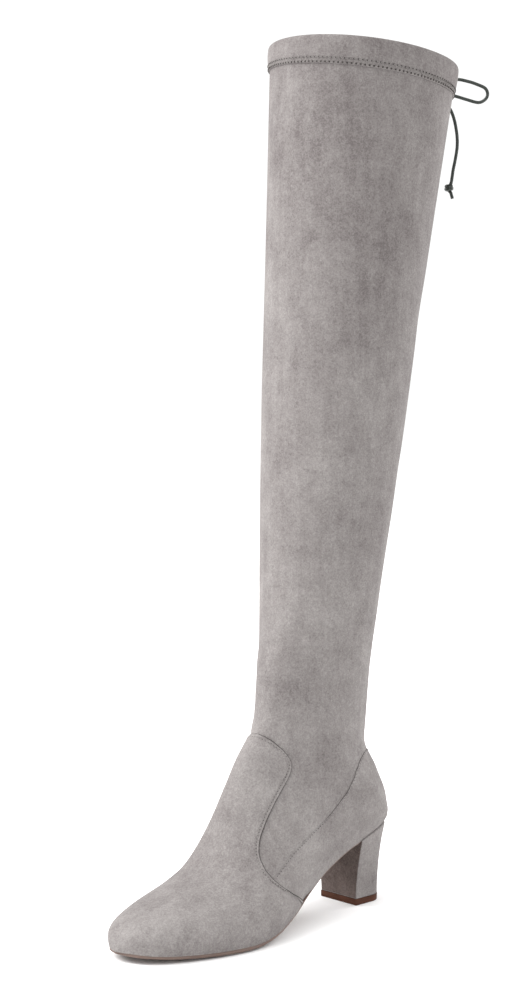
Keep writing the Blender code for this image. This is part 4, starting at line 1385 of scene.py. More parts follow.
@dataclass
class Vamp(Overlay):
    """Overlay from the toe to its rounded tongue and down to the sole.

    skive: how much the tongue's edge is thinned, in mm
    skive_reach: how far in the thinning fades
    flare_skive: how much the flare's edge is thinned
    flank: places around between which the tongue's finish turns into the flare's
    trough: depth of the groove that the stitches pull in
    trough_half: the groove's half width
    thread_under: how far the thread's middle lies under the full height
    bare_from: section behind which the rim's lip shows its dark painted shadow
    """

    row_gap: float = 3.0
    skive: float = 0.2
    skive_reach: float = 2.4
    flare_skive: float = 0.5
    flank: tuple[float, float] = (0.40, 0.56)
    trough: float = 0.42
    trough_half: float = 0.7
    thread_under: float = 0.3
    bare_from: float = 8.0
    stitch: Stitch = Stitch(2.2, 1.5, 0.42, 0.7)

    def build(self, suede: Material, painted_shadow: Material, thread: Threadwork) -> list[Object]:
        """Makes the vamp and its row of stitches.

        Args:
            suede: its material.
            painted_shadow: the dark material of the rim's lip, a painted shadow line beside the raised edge.
            thread: the thread.

        Returns:
            The pieces.
        """
        last = self.last
        tongue, flare = Outline(TONGUE), Outline(FLARE)
        root, tip = TONGUE[0], TONGUE[-1]
        middle = self._columns(root.at, root.around)
        flank = list(np.linspace(root.around, 1.0, 26))
        foot = [-c for c in reversed(flank[1:])] + middle + flank[1:]
        patch = Patchwork(last)
        patch.grid([[(t, c) for c in foot] for t in last.even_rows(0.0, root.at, self.row_gap)])
        scale = last.at_scale(tip.at, 0.0)
        rises = last.even_rows(root.at, tip.at - NEAR_EDGE[-1] / scale, 2.2)
        rises += [tip.at - d / scale for d in reversed(NEAR_EDGE[:-1])]
        edges = [root.around if t == root.at else tongue.around(t) for t in rises]
        patch.grid([[(t, c) for c in self._columns(t, edge)] for t, edge in zip(rises, edges)])
        for side in Side:
            strips = []
            for c in flank:
                run = max(flare.at(c) - root.at, 0.0) if c > root.around else 0.0
                strips.append(self._strip(root.at, run, last.at_scale(root.at + run, c)))
            patch.grid([[(strip[k], side.value * c) for strip, c in zip(strips, flank)]
                        for k in range(len(strips[0]))])
        free = np.vstack([flare.line[::-1], tongue.line[1:]])
        both = self.dense(np.vstack([free, free[::-1] * (1.0, -1.0)]), 2600)
        at, around = patch.arrays()
        near = near_line(last.skin(at, around), last.skin(both[:, 0], both[:, 1]))
        flank_share = last.ease(np.abs(around), *self.flank)
        skive = self.skive + (self.flare_skive - self.skive) * flank_share
        groove = self.trough * np.exp(-((near - self.stitch_in) / self.trough_half) ** 2)
        lift = self.full - skive * np.exp(-near / self.skive_reach) - groove
        outer, inner = last.face(at, around, lift), last.face(at, around, self.under)
        self.turn_under(outer, inner, at, around)
        reach = (np.abs(around) < SOLE_LINE) * (at > 0.01) * (1.0 + 0.6 * flank_share)
        points, faces, dark = patch.rimmed(outer, inner, RIM, reach)
        count = len(at)
        # Lip faces behind bare_from take the dark material: a painted shadow line beside the raised edge.
        shown = {i for i in dark if all(v >= count or at[v] > self.bare_from for v in faces[i])}
        item = make_piece("suede_vamp", points, faces, [suede, painted_shadow], lambda i: int(i in shown))
        ways = np.vstack([self._inward(flare.line, 0.6)[::-1], self._inward(tongue.line, 1.0)[1:]])
        outer_row, inner_row = (
            self.inset(free * (1.0, side.value), ways * (1.0, side.value), self.thread_under)
            for side in Side)
        across = np.column_stack([np.full(12, tip.at), np.linspace(tip.around, -tip.around, 12)])
        top = self.inset(across, np.tile((-0.1, 0.0), (12, 1)), self.thread_under)
        row = np.vstack([outer_row, top[1:-1], inner_row[::-1]])
        return [settle(item, ["vamp"])] + thread.stitches("vamp_stitches", [row], self.stitch)

    @staticmethod
    def _inward(line: np.ndarray, lean: float) -> np.ndarray:
        """Steps from an edge into the vamp: towards the toe and the ridge.

        Args:
            line: places along the edge.
            lean: how strongly a step turns towards the toe where the edge runs along the foot.

        Returns:
            One step for each place.
        """
        step = np.abs(np.gradient(line, axis=0) * (1.0, 6.0))
        way = np.column_stack([-step[:, 1], -step[:, 0] * lean])
        return unit(way) * (0.12, 0.05)

    def _columns(self, at: float, edge: float) -> list[float]:
        """Places around from edge to edge, closer near both edges."""
        scale = self.last.around_scale(at, edge)
        near = [edge - d / scale for d in NEAR_EDGE]
        near = [max(c, edge * 0.3 * (1.0 - k / 20.0)) for k, c in enumerate(near)]
        half = near + list(np.linspace(near[-1], 0.0, 10))[1:-1]
        return [-c for c in half] + [0.0] + half[::-1]

    @staticmethod
    def _strip(start: float, run: float, scale: float) -> list[float]:
        """Sections from the root row to the flare's edge, closer near the edge.

        Args:
            start: the root row's section.
            run: how many sections the flare stands behind it.
            scale: mm per section.

        Returns:
            The sections.
        """
        near = [d / scale for d in NEAR_EDGE]
        fit = min(1.0, run / (near[-1] * 1.25)) if run > 0.0 else 0.0
        near = [d * fit for d in near]
        rest = np.linspace(0.0, max(run - near[-1], 0.0), 8)
        return [start + r for r in rest[:-1]] + [start + run - d for d in reversed(near)]


@dataclass
class Counter(Overlay):
    """Heel overlay from its curved seam down to the sole, round the back.

    front_gap: sections between the vamp's flare and the counter
    wing: sections behind the flare's end in which the rows turn straight
    wing_rows: where those rows lie, 0 on the front edge and 1 on the first straight row
    fine_from: section from which the rows lie close, up to the seam's top
    edge_height: height of the seam's edge over the upper, in mm
    flush_height: the same beside the vamp, where the counter lies flush
    edge_grows: sections over which the one turns into the other
    rise_over: how far in the counter reaches its full height, in mm
    rim_out: how much of the rim's width stands out
    rim_grows: sections over which the rim comes out
    bare_from: section behind which the rim's lip shows its dark painted shadow
    seat_fill: how far the lower edge stands out over the heel, in mm
    seat_grows: sections over which it comes out
    """

    row_gap: float = 2.8
    front_gap: float = 0.05
    wing: float = 0.3
    wing_rows: tuple[float, ...] = (0.0, 0.05, 0.1, 0.16, 0.24, 0.34, 0.45, 0.57, 0.7, 0.84)
    fine_from: float = 20.2
    edge_height: float = 0.42
    flush_height: float = 0.16
    edge_grows: tuple[float, float] = (12.0, 13.6)
    rise_over: float = 15.0
    rim_out: float = 0.45
    rim_grows: tuple[float, float] = (12.2, 13.4)
    bare_from: float = 12.4
    stitch_in: float = 0.9
    seat_fill: float = 0.9
    seat_grows: tuple[float, float] = (13.8, 14.6)
    stitch: Stitch = Stitch(2.4, 1.2, 0.3, 0.75)

    def build(self, suede: Material, painted_shadow: Material, thread: Threadwork) -> list[Object]:
        """Makes the counter and its stitches.

        Args:
            suede: its material.
            painted_shadow: the dark material of the rim's lip, a painted shadow line beside the raised edge.
            thread: the thread.

        Returns:
            The pieces.
        """
        last = self.last
        seam, flare = Outline(COUNTER_SEAM), Outline(FLARE)
        first = COUNTER_SEAM[0]
        start, end = FLARE[-1].at + self.wing, COUNTER_SEAM[-1].at
        levels = last.even_rows(start, self.fine_from, self.row_gap)
        levels += list(np.linspace(self.fine_from, end, 22))[1:]
        patch = Patchwork(last)
        for side in Side:
            rows = []
            for u in self.wing_rows:
                guess = first.at + (start - first.at) * u
                row = []
                for c in self._columns(guess, seam.around(guess)):
                    front = flare.at(max(c, first.around)) + self.front_gap
                    row.append((front + (start - front) * u, c))
                rows.append(row)
            rows += [[(t, c) for c in self._columns(t, seam.around(t))] for t in levels]
            marked = [[(t, side.value * c) for t, c in row] for row in rows]
            if side is Side.INNER:
                marked = [list(reversed(row)) for row in marked]
            patch.grid(marked)
        line = seam.line
        ahead = np.array([(flare.at(c) + self.front_gap, c) for c in np.linspace(first.around, 1.0, 60)])
        free = self.dense(np.vstack([ahead[::-1], line]), 1600)
        edge = np.vstack([last.skin(free[:, 0], free[:, 1]), last.skin(free[:, 0], -free[:, 1])])
        at, around = patch.arrays()
        near = near_line(last.skin(at, around), edge)
        low = self.flush_height + (self.edge_height - self.flush_height) * last.ease(at, *self.edge_grows)
        lift = low + (self.full - low) * last.ease(near, 0.0, self.rise_over)
        reach = self.rim_out * (np.abs(around) < SOLE_LINE) * last.ease(at, *self.rim_grows)
        outer, inner = last.face(at, around, lift), last.face(at, around, self.under)
        self.turn_under(outer, inner, at, around)
        fill = (np.abs(around) > SOLE_LINE) * last.ease(at, *self.seat_grows) * self.seat_fill
        outer += unit(last.outward(at, around) * (1.0, 1.0, 0.0)) * fill[:, None]
        points, faces, dark = patch.rimmed(outer, inner, RIM, reach)
        count = len(at)
        # Lip faces behind bare_from take the dark material: a painted shadow line beside the raised edge.
        shown = {i for i in dark if all(v >= count or at[v] > self.bare_from for v in faces[i])}
        item = make_piece("suede_counter", points, faces, [suede, painted_shadow], lambda i: int(i in shown))
        keep = line[line[:, 0] > first.at + 0.15]
        down = np.tile((0.0, 0.05), (len(keep), 1))
        under = self.full - self.edge_height + 0.1
        rows = [self.inset(keep * (1.0, side.value), down * (1.0, side.value), under) for side in Side]
        return [settle(item, ["counter"])] + thread.stitches("counter_stitches", rows, self.stitch)

    def _columns(self, at: float, edge: float) -> list[float]:
        """Places around from the seam down to the sole line or back seam."""
        scale = self.last.around_scale(at, edge)
        room = (1.0 - edge) * scale
        fit = min(1.0, room / (NEAR_EDGE[-1] * 1.6))
        near = [edge + d * fit / scale for d in NEAR_EDGE]
        return near + list(np.linspace(near[-1], 1.0, 18))[1:]


@dataclass
class CollarHem:
    """Folded hem over the collar's edge with its coverstitch.

    depth: the hem's depth, in mm
    shallow: its depth on the inner side, where it is least
    shallow_at: the place around where that is
    shallow_half: how far round the change reaches
    rise: height of the outer face over the upper
    puff: how far the drawcord's channel stands out in its middle
    dent: how far each row of stitches draws the hem in
    dent_half: half width of such a dent
    fold: the fold's height over the collar's edge
    fit: gap between the hem's inner face and the upper
    layer: thickness of the hem's inner layer
    first_row: height of the lower row over the hem's lower edge
    needle_gap: height of the upper row
    cover_end: place around, on both sides, where the coverstitch ends and a single row goes on
    """

    last: Last
    depth: float = 19.8
    shallow: float = 14.0
    shallow_at: float = -0.50
    shallow_half: float = 0.42
    rise: float = 1.15
    puff: float = 0.55
    dent: float = 0.2
    dent_half: float = 0.8
    fold: float = 2.1
    wall: float = 1.5
    fit: float = 0.3
    layer: float = 0.8
    first_row: float = 1.0
    needle_gap: float = 4.0
    cover_end: float = 0.80
    columns: int = 192
    upper_stitch: Stitch = Stitch(3.0, 1.7, 0.4, 1.0)
    lower_stitch: Stitch = Stitch(3.0, 1.9, 0.5, 1.6)
    back_stitch: Stitch = Stitch(2.6, 1.6, 0.36, 0.6)
    cover_thread: float = 0.34
    cover_step: float = 1.15

    def share(self, around: np.ndarray) -> np.ndarray:
        """The hem's depth at places around, as a share of its full depth."""
        less = 1.0 - self.shallow / self.depth
        return 1.0 - less * np.exp(-((around - self.shallow_at) / self.shallow_half) ** 2)

    def _profile(self) -> tuple[list[tuple[float, float]], int]:
        """Section of the hem, from its lower lip over the fold and down inside.

        Returns:
            Points as mm below the collar's edge and mm over the upper's face, and how
            many of them show the suede.
        """
        profile = [(self.depth + past, off) for past, off in HEM_LIP]
        for s in np.linspace(self.depth - 0.8, 2.6, 30):
            channel = min(s / (self.depth - self.needle_gap), 1.0)
            rise = self.rise + self.puff * math.sin(math.pi * channel) ** 0.8
            for row in (self.depth - self.first_row, self.depth - self.needle_gap):
                rise -= self.dent * math.exp(-((s - row) / self.dent_half) ** 2)
            profile.append((float(s), rise))
        wall = -self.wall - self.fit
        inner = wall - self.layer
        middle, half = (self.rise + 0.2 + inner) / 2.0, (self.rise + 0.2 - inner) / 2.0
        for a in np.radians(np.linspace(8.0, 172.0, 12)):
            profile.append((self.fold * (1.0 - math.sin(a)), middle + half * math.cos(a)))
        shown = len(profile) - 3
        profile += [(s, inner) for s in np.linspace(3.0, self.depth, 8)] + [(self.depth, wall)]
        profile += [(s, wall) for s in np.linspace(self.depth - 2.0, 2.4, 6)]
        profile += [(1.5, -0.7), (2.4, HEM_LIP[0][1])]
        profile += [(s, HEM_LIP[0][1]) for s in np.linspace(4.0, self.depth - 2.0, 6)]
        return profile, shown

    def build(self, suede: Material, lining: Material, painted_shadow: Material,
              thread: Threadwork) -> list[Object]:
        """Makes the hem and its threads.

        Args:
            suede: its outer material.
            lining: the material of its inner face.
            painted_shadow: the dark material of its lowest lip face, a painted shadow under the hem.
            thread: the thread.

        Returns:
            The pieces.
        """
        last = self.last
        profile, shown = self._profile()
        around = np.linspace(-1.0, 1.0, self.columns + 1)[1:]
        scale = np.array([last.at_scale(last.top, c) for c in around]) / self.share(around)
        points = [last.face(np.clip(last.top - s / scale, 0.0, last.top), around, off) for s, off in profile]
        size = self.columns
        # The lowest lip face takes the dark material: a painted shadow under the hem's edge.
        item = make_piece("suede_hem", np.vstack(points), ring_quads(len(profile), size, closed=True),
                          [suede, lining, painted_shadow], lambda i: 2 if i < size else 0 if i < shown * size else 1)
        pieces = [settle(item, ["top_band"])]
        low, high, end = self.first_row, self.needle_gap, self.cover_end
        spots = np.linspace(-end, end, 1200)
        lower, upper = self._row(spots, low, 0.95), self._row(spots, high, 1.4)
        pieces += thread.stitches("hem_upper_row", [upper], self.upper_stitch)
        pieces += thread.stitches("hem_lower_row", [lower], self.lower_stitch)
        count = int(path_run(lower)[-1] / self.cover_step)
        zig = np.array([self._row(np.array([c]), low + 0.3 if i % 2 else high - 0.3, 1.15)[0]
                        for i, c in enumerate(np.linspace(-end, end, count))])
        pieces.append(settle(thread.threads("hem_cover_threads", [zig], self.cover_thread)))
        rest = self._row(np.linspace(end, 2.0 - end, 260), low, 0.95)
        pieces += thread.stitches("hem_back_row", [rest], self.back_stitch)
        return pieces

    def _row(self, around: np.ndarray, up: float, off: float) -> np.ndarray:
        """Points of a row at a height over the hem's lower edge.

        Args:
            around: places around; past 1 they go on from -1.
            up: mm over the lower edge.
            off: mm over the upper's face.

        Returns:
            Points in mm.
        """
        last = self.last
        around = np.where(around > 1.0, around - 2.0, around)
        scale = np.array([last.at_scale(last.top, float(c)) for c in around]) / self.share(around)
        return last.face(last.top - (self.depth - up) / scale, around, off)


class SolePoint(NamedTuple):
    """A point of the outsole's half section.

    share: place across, as a share of the half width
    up: height, as a share of the way from the tread to the top
    crown: how much of the crown's lift it takes
    """

    share: float
    up: float
    crown: float


SOLE_SECTION = (
    SolePoint(0.985, 1.0, 0.0), SolePoint(1.0, 0.9, 0.0), SolePoint(1.003, 0.45, 0.4),
    SolePoint(0.997, 0.08, 0.95), SolePoint(0.982, 0.0, 0.85), SolePoint(0.93, 0.0, 0.45),
    SolePoint(0.84, 0.0, 0.12), SolePoint(0.68, 0.0, 0.0), SolePoint(0.35, 0.0, 0.0),
)


@dataclass
class SoleUnit:
    """Outsole with its trimmed edge, tucked under the toe.

    tuck: how far the edge stands back under the toe's tip, in mm
    inset: how far it stands back elsewhere
    crown: how far the tread's edges curve up
    breast: section where the sole ends at the heel
    """

    last: Last
    tuck: float = 1.9
    inset: float = 0.1
    crown: float = 1.2
    breast: float = 14.0

    def build(self, leather: Material) -> Object:
        """Makes the outsole.

        Args:
            leather: its material.

        Returns:
            The piece.
        """
        last = self.last
        thick = np.array([[f.sole * last.sole] for f in FOOT])
        rings = []
        toe_rows = list(3.0 * np.linspace(0.0, 1.0, 44)[1:] ** 1.6)
        for at in toe_rows + last.even_rows(3.0, self.breast, 3.0)[1:]:
            inset = self.inset + self.tuck * (1.0 - float(last.ease(np.array([at]), 0.0, 2.4)[0]))
            out, into = last.edge_pair(float(at), inset, last.clear)
            depth = float(last.rows_at(thick, [at])[0, 0])
            top = float(last.edge_pair(max(float(at), TIP_LEVEL), 0.0, last.clear)[0][2])
            floor = max(0.0, top - depth)
            lift = min(self.crown, 0.35 * depth)
            middle, half = (out + into) / 2.0, (out - into) / 2.0
            ring = []
            for side in (1.0, -1.0):
                points = []
                for s in SOLE_SECTION:
                    p = middle + half * s.share * side
                    p[2] = floor + (top - floor) * s.up + lift * s.crown * (1.0 - s.up)
                    points.append(p)
                ring += points if side > 0.0 else points[::-1]
            rings.append(ring)
        size = len(rings[0])
        faces = ring_quads(len(rings), size)
        faces.append([(len(rings) - 1) * size + j for j in reversed(range(size))])
        points = [p for ring in rings for p in ring] + [np.mean(rings[0], axis=0)]
        faces += [[len(points) - 1, (j + 1) % size, j] for j in range(size)]
        item = make_piece("sole_leather", np.array(points), faces, [leather], fold_angle=55.0)
        return settle(item, ["outsole"])


@dataclass
class BlockHeel:
    """Suede covered block heel and its rubber top piece.

    top_piece: the rubber's height, in mm
    width, depth, corner: plan of the heel at the floor, and the radius of its rear corners
    turn: how far the heel is turned outwards
    joint: gap over the rubber
    flush: how far the cover stands out at the seat, level with the counter
    hollow: how far the breast is hollowed
    taper: how quickly the sides draw in below the seat
    columns: points round the sides
    """

    last: Last
    top_piece: float = 4.6
    width: float = 34.7
    depth: float = 27.6
    corner: float = 11.0
    turn: float = math.radians(4.5)
    joint: float = 0.1
    flush: float = 1.7
    hollow: float = 0.9
    taper: float = 1.8
    columns: int = 71

    def floor_outline(self, count: int) -> np.ndarray:
        """Plan of the heel at the floor, from the outer breast corner round the rear.

        Args:
            count: how many points.

        Returns:
            Points in mm at height 0.
        """
        half, deep, r = self.width / 2.0, self.depth / 2.0, self.corner
        path = [(half, -deep), (half, deep - r)]
        path += [(half - r + r * math.cos(math.radians(a)), deep - r + r * math.sin(math.radians(a)))
                 for a in range(5, 91, 5)]
        path += [(-x, y) for x, y in reversed(path)]
        c, s = math.cos(self.turn), math.sin(self.turn)
        turned = [np.array([x * c + y * s, -x * s + y * c, 0.0]) for x, y in path]
        return self.spread(turned, count)

    @staticmethod
    def spread(path: Sequence[np.ndarray], count: int) -> np.ndarray:
        """Even points along an open path.

        Args:
            path: the path's points.
            count: how many points.

        Returns:
            The points.
        """
        line = np.array(path)
        run = path_run(line)
        want = np.linspace(0.0, run[-1], count)
        return np.column_stack([np.interp(want, run, line[:, k]) for k in range(3)])

    def _block(self, suede: Material, breast: Material) -> Object:
        """Makes the covered block.

        Args:
            suede: the cover's material.
            breast: the material of its front panel, a darker suede that paints the shade on the breast.

        Returns:
            The object.
        """
        last, count = self.last, self.columns
        rows = np.linspace(14.02, last.rear, 60)
        pairs = [last.edge_pair(float(at), 0.0, -0.1) for at in rows]
        top = self.spread([p[0] for p in pairs] + [p[1] for p in reversed(pairs[:-1])], count)
        away = np.zeros_like(top)
        away[1:-1] = np.cross(top[2:] - top[:-2], (0.0, 0.0, 1.0))
        away[:, 2] = 0.0
        away[1:-1] = unit(away[1:-1])
        away[0], away[-1] = away[1], away[-2]
        low = self.floor_outline(count)
        low[:, 2] = self.top_piece + self.joint
        across = np.linspace(0.0, 1.0, 16)[1:-1]
        rings = []
        for share in list(np.linspace(0.0, 0.06, 7)) + list(np.linspace(0.08, 1.0, 34)):
            ease = 1.0 - (1.0 - share) ** self.taper
            edge = top + away * self.flush * (1.0 - 0.4 * math.exp(-share / 0.01))
            ring = edge + (low - edge) * ease
            ring[:, 2] = top[:, 2] + (low[:, 2] - top[:, 2]) * share
            face = ring[-1] + (ring[0] - ring[-1]) * across[:, None]
            face[:, 1] += self.hollow * np.sin(np.pi * across) * math.sin(math.pi * min(share * 1.2, 1.0))
            rings.append(np.vstack([ring, face]))
        size = len(rings[0])
        points = list(np.vstack(rings))
        faces = ring_quads(len(rings), size)
        for end, flip in ((0, False), (len(rings) - 1, True)):
            hub = len(points)
            points.append(np.mean(rings[end], axis=0))
            for j in range(size):
                a, b = end * size + j, end * size + (j + 1) % size
                faces.append([hub, a, b] if flip else [hub, b, a])
        sides = (len(rings) - 1) * size
        # The breast's faces take the darker suede: painted shade.
        return make_piece("heel_cover", np.array(points), faces, [suede, breast],
                          lambda i: int(i < sides and i % size >= count - 1), 48.0, 0.55)

    def _tap(self, rubber: Material) -> Object:
        """Makes the rubber top piece.

        Args:
            rubber: its material.

        Returns:
            The object.
        """
        plan = self.floor_outline(61)
        away = unit(plan - plan.mean(axis=0))
        rings = []
        for z, out in ((self.top_piece, 0.05), (self.top_piece - 0.3, 0.18), (0.45, 0.12), (0.0, -0.35)):
            ring = plan + away * out
            ring[:, 2] = z
            rings.append(ring)
        size = len(plan)
        faces = ring_quads(len(rings), size)
        faces += [list(range(size))[::-1], [(len(rings) - 1) * size + j for j in range(size)]]
        return make_piece("heel_tap", np.vstack(rings), faces, [rubber], fold_angle=40.0)

    def build(self, suede: Material, breast: Material,
              rubber: Material) -> list[Object]:
        """Makes the covered block and the top piece.

        Args:
            suede: the cover's material.
            breast: the material of the cover's front panel, a darker suede that paints the shade on the
                breast.
            rubber: the top piece's material.

        Returns:
            The pieces.
        """
        block = self._block(suede, breast)
        tap = self._tap(rubber)
        return [settle(block, ["heel_block"]), settle(tap, ["top_piece"])]


@dataclass
class Drawcord:
    """Drawcord tied in a bow behind the collar, with knotted ends.

    knot_drop: how far the knot hangs under the collar's rear edge, in mm
    knot_out: how far it stands behind it
    bow_length, bow_turn: a loop's reach and its angle from the boot's width
    tail_drop: how far an end hangs down
    end_knot, end_knot_high, end_knot_turns: width, height and turns of the small knot
    end_knot_at: where it sits, as a share of the drop
    """

    last: Last
    thick: float = 2.4
    knot_drop: float = 8.5
    knot_out: float = 3.45
    knot_width: float = 7.4
    bow_length: float = 43.7
    bow_turn: float = math.radians(35.4)
    tail_drop: float = 75.0
    end_knot: float = 4.6
    end_knot_high: float = 3.2
    end_knot_turns: float = 1.7
    end_knot_at: float = 0.897
    end_knot_thick: float = 3.0

    def knot_place(self) -> np.ndarray:
        """Middle of the knot."""
        last = self.last
        centre = last.seam_follow * SHAFT[-1].centre * last.ankle_width / 2.0
        return np.array([centre, last.seat_rear + last.collar_back + self.knot_out,
                         last.back_height - self.knot_drop])

    @staticmethod
    def smooth_path(points: Sequence[np.ndarray], per: int) -> np.ndarray:
        """Smooth path through points.

        Args:
            points: what it passes.
            per: steps between neighbours.

        Returns:
            The path's points.
        """
        p = [np.array(q, float) for q in points]
        p = [2 * p[0] - p[1]] + p + [2 * p[-1] - p[-2]]
        out = []
        for i in range(1, len(p) - 2):
            for k in range(per):
                u = k / per
                out.append(0.5 * (2 * p[i] + (p[i + 1] - p[i - 1]) * u
                                  + (2 * p[i - 1] - 5 * p[i] + 4 * p[i + 1] - p[i + 2]) * u * u
                                  + (3 * p[i] - p[i - 1] - 3 * p[i + 1] + p[i + 2]) * u ** 3))
        out.append(p[-2])
        return np.array(out)

    def tube(self, name: str, path: np.ndarray, material: Material, radius: float,
             closed: bool = False, sides: int = 12) -> Object:
        """A round cord with a UV map: U around, V in mm along.

        Args:
            name: the piece's name.
            path: its middle line in mm.
            material: its finish.
            radius: in mm.
            closed: whether its ends meet.
            sides: points on a ring.

        Returns:
            The object.
        """
        count = len(path)
        frame = None
        points = []
        for i, p in enumerate(path):
            if closed:
                ahead = unit(path[(i + 1) % count] - path[i - 1])
            else:
                ahead = unit(path[min(i + 1, count - 1)] - path[max(i - 1, 0)])
            if frame is None:
                frame = np.cross(ahead, (0.3, 0.2, 0.9))
            frame = unit(frame - ahead * float(frame @ ahead))
            side = np.cross(ahead, frame)
            turns = np.linspace(0.0, 2.0 * math.pi, sides, endpoint=False)
            points += [p + (frame * math.cos(a) + side * math.sin(a)) * radius for a in turns]
        faces = ring_quads(count, sides, closed)
        if not closed:
            faces += [list(range(sides))[::-1], [(count - 1) * sides + j for j in range(sides)]]
        item = make_piece(name, np.array(points), faces, [material], fold_angle=60.0)
        run = path_run(path)
        layer = item.data.uv_layers.new(name="cord")
        for polygon in item.data.polygons:
            ring = [item.data.loops[k].vertex_index for k in polygon.loop_indices]
            wraps = max(v % sides for v in ring) == sides - 1 and min(v % sides for v in ring) == 0
            for k, v in zip(polygon.loop_indices, ring):
                u = v % sides
                turn = u + sides if wraps and u == 0 else u
                layer.data[k].uv = (turn / sides, run[min(v // sides, count - 1)])
        return item

    def build(self, material: Material) -> list[Object]:
        """Makes the knot, both loops and both ends.

        Args:
            material: the cord's finish.

        Returns:
            The pieces.
        """
        at = self.knot_place()
        radius = self.thick / 2.0
        reach = self.knot_width / 2.0 - radius * 0.9
        turns = np.linspace(0.0, 2.0 * math.pi, 72, endpoint=False)
        knot = np.column_stack([reach * (np.sin(turns) + 1.6 * np.sin(2 * turns)) / 2.3,
                                -0.75 * reach * np.sin(3 * turns),
                                reach * (np.cos(turns) - 1.6 * np.cos(2 * turns)) / 2.3]) + at
        centre = self.tube("drawcord_knot", knot, material, radius * 0.94, closed=True)
        pieces = [settle(centre, ["bow_knot"])]
        for side in Side:
            word = side.name.lower()
            ahead = np.array([side.value * math.cos(self.bow_turn), math.sin(self.bow_turn), 0.0])
            loop = self.smooth_path([at + ahead * p.out * self.bow_length + (0.0, 0.0, p.up * self.bow_length)
                                     for p in LOOP], 6)
            pieces.append(self._declare(f"drawcord_loop_{word}", loop, material, f"bow_loop_{word}"))
            tail = self.smooth_path([at + np.array([side.value * p.side, p.back, -p.down]) * self.tail_drop
                                     for p in TAIL], 6)
            knot_piece = self._end_knot(f"drawcord_end_knot_{word}", tail, at[2], material)
            pieces.append(knot_piece)
            pieces.append(self._declare(f"drawcord_end_{word}", tail, material, f"cord_end_{word}"))
        return pieces

    def _end_knot(self, name: str, tail: np.ndarray, top: float, material: Material) -> Object:
        """Makes the small knot near an end.

        Args:
            name: the piece's name.
            tail: the end's middle line in mm.
            top: height of the bow's knot in mm.
            material: its finish.

        Returns:
            The piece.
        """
        first = int(np.argmin(np.abs(top - tail[:, 2] - self.end_knot_at * self.tail_drop)))
        axis = unit(tail[first + 8] - tail[first - 8])
        one = unit(np.cross(axis, (0.0, 1.0, 0.2)))
        two = np.cross(axis, one)
        around = self.end_knot / 2.0 - 0.4
        wrap = [tail[first] + axis * (share - 0.5) * self.end_knot_high
                + (one * math.cos(a) + two * math.sin(a)) * around
                for share, a in zip(np.linspace(0.0, 1.0, 40),
                                    np.linspace(0.0, 2.0 * math.pi * self.end_knot_turns, 40))]
        return settle(self.tube(name, np.array(wrap), material, self.end_knot_thick / 2.0))

    def _declare(self, name: str, path: np.ndarray, material: Material, node: str) -> Object:
        """Args:
            name: the piece's name.
            path: its middle line in mm.
            material: its finish.
            node: the CAD node that it stands for.

        Returns:
            The piece.
        """
        item = self.tube(name, path, material, self.thick / 2.0)
        settle(item, [node])
        return item


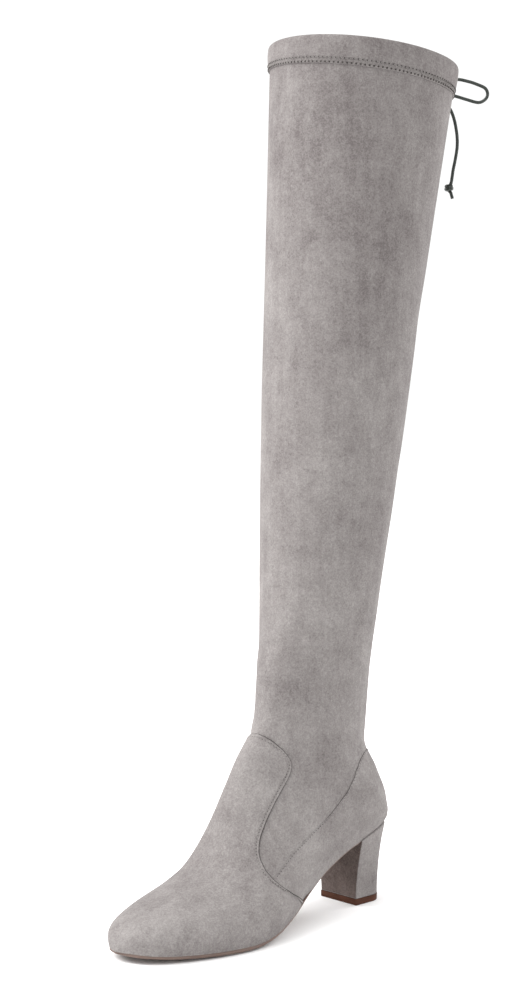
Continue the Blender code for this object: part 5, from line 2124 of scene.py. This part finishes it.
@dataclass
class Studio:
    """Camera, lights and floor.

    camera_at: the camera's place, in mm
    azimuth, pitch: its direction, in degrees
    focal, frame_height: its focal length and the picture's height, in pixels
    fill: strength of the white world
    """

    camera_at: Triple = (944.8, -1143.9, 417.2)
    azimuth: float = 42.17
    pitch: float = 5.14
    focal: float = 2126.03
    frame_height: float = 1000.0
    fill: float = 1.08
    floor_half: float = 9000.0
    floor_thick: float = 4.0

    def camera(self) -> None:
        """Sets the camera at the photograph's angle."""
        a, p = math.radians(self.azimuth), math.radians(self.pitch)
        right = Vector((math.cos(a), math.sin(a), 0.0))
        ahead = Vector((-math.sin(a) * math.cos(p), math.cos(a) * math.cos(p), -math.sin(p)))
        up = right.cross(ahead)
        lens = bpy.data.cameras.new("camera")
        lens.sensor_fit = "VERTICAL"
        lens.sensor_height = 36.0
        lens.lens = self.focal * lens.sensor_height / self.frame_height
        lens.clip_start, lens.clip_end = 0.05, 60.0
        item = add_object("camera", lens)
        item.matrix_world = Matrix((right, up, -ahead)).transposed().to_4x4()
        item.location = Vector(self.camera_at) * MM
        bpy.context.scene.camera = item

    @staticmethod
    def light(panel: Panel) -> None:
        """Adds a soft area light.

        Args:
            panel: its place, aim, size and power.
        """
        light = bpy.data.lights.new(panel.name, "AREA")
        light.shape = "RECTANGLE"
        light.size, light.size_y = panel.size
        light.energy = panel.power
        item = add_object(panel.name, light)
        item.location = panel.place
        way = Vector(panel.aim) - Vector(panel.place)
        item.rotation_euler = way.to_track_quat("-Z", "Y").to_euler()

    def build(self, floor: Material) -> None:
        """Adds the floor, the lights and the world.

        Args:
            floor: the floor's material.
        """
        wide = self.floor_half
        corners = [(-wide, -wide), (wide, -wide), (wide, wide), (-wide, wide)]
        points = np.array([(x, y, z) for z in (-self.floor_thick, 0.0) for x, y in corners])
        item = make_piece("studio_floor", points, ring_quads(2, 4) + [[3, 2, 1, 0], [4, 5, 6, 7]], [floor])
        world = bpy.data.worlds.new("studio")
        world.use_nodes = True
        background = world.node_tree.nodes["Background"]
        background.inputs["Color"].default_value = (1.0, 1.0, 1.0, 1.0)
        background.inputs["Strength"].default_value = self.fill
        bpy.context.scene.world = world
        for panel in LIGHTS:
            self.light(panel)
        bpy.context.scene.view_settings.view_transform = "Standard"


def main() -> None:
    """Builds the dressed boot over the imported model."""
    logging.basicConfig(level=logging.INFO, format="%(message)s")
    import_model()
    last = Last()
    studio = Studio()
    studio.camera()
    Drawcord(last).build(CordFinish().make("waxed_cord"))
    shaft_suede = SuedeFinish().make("shaft_suede", Nap.DOWN)
    foot_suede = SuedeFinish().make("foot_suede", Nap.ALONG)
    lining = LiningFinish().make("knit_lining")
    # Dark material for painted shadow: the overlays' lips, the hem's lowest lip face and the needle holes.
    painted_shadow = PaintedShadowFinish().make("painted_shadow_edge")
    thread = Threadwork(ThreadFinish().make("grey_thread"), painted_shadow)
    SuedeUpper(last).build(shaft_suede, lining)
    Vamp(last).build(foot_suede, painted_shadow, thread)
    Counter(last).build(foot_suede, painted_shadow, thread)
    CollarHem(last).build(shaft_suede, lining, painted_shadow, thread)
    leather = EdgeLeatherFinish().make("sole_leather")
    SoleUnit(last).build(leather)
    # A darker copy of the suede for the heel's breast: painted shade where it faces away from the light.
    painted_shade_finish = SuedeFinish(dark=(0.052, 0.038, 0.034), light=(0.148, 0.118, 0.108))
    breast_painted_shade_suede = painted_shade_finish.make("breast_painted_shade_suede", Nap.DOWN)
    BlockHeel(last).build(foot_suede, breast_painted_shade_suede, HeelRubberFinish().make("heel_rubber"))
    insole = bpy.data.objects["insole"]
    for slot in insole.material_slots:
        slot.material = lining
    studio.build(FloorFinish().make("pale_floor"))


if __name__ == "__main__":
    main()
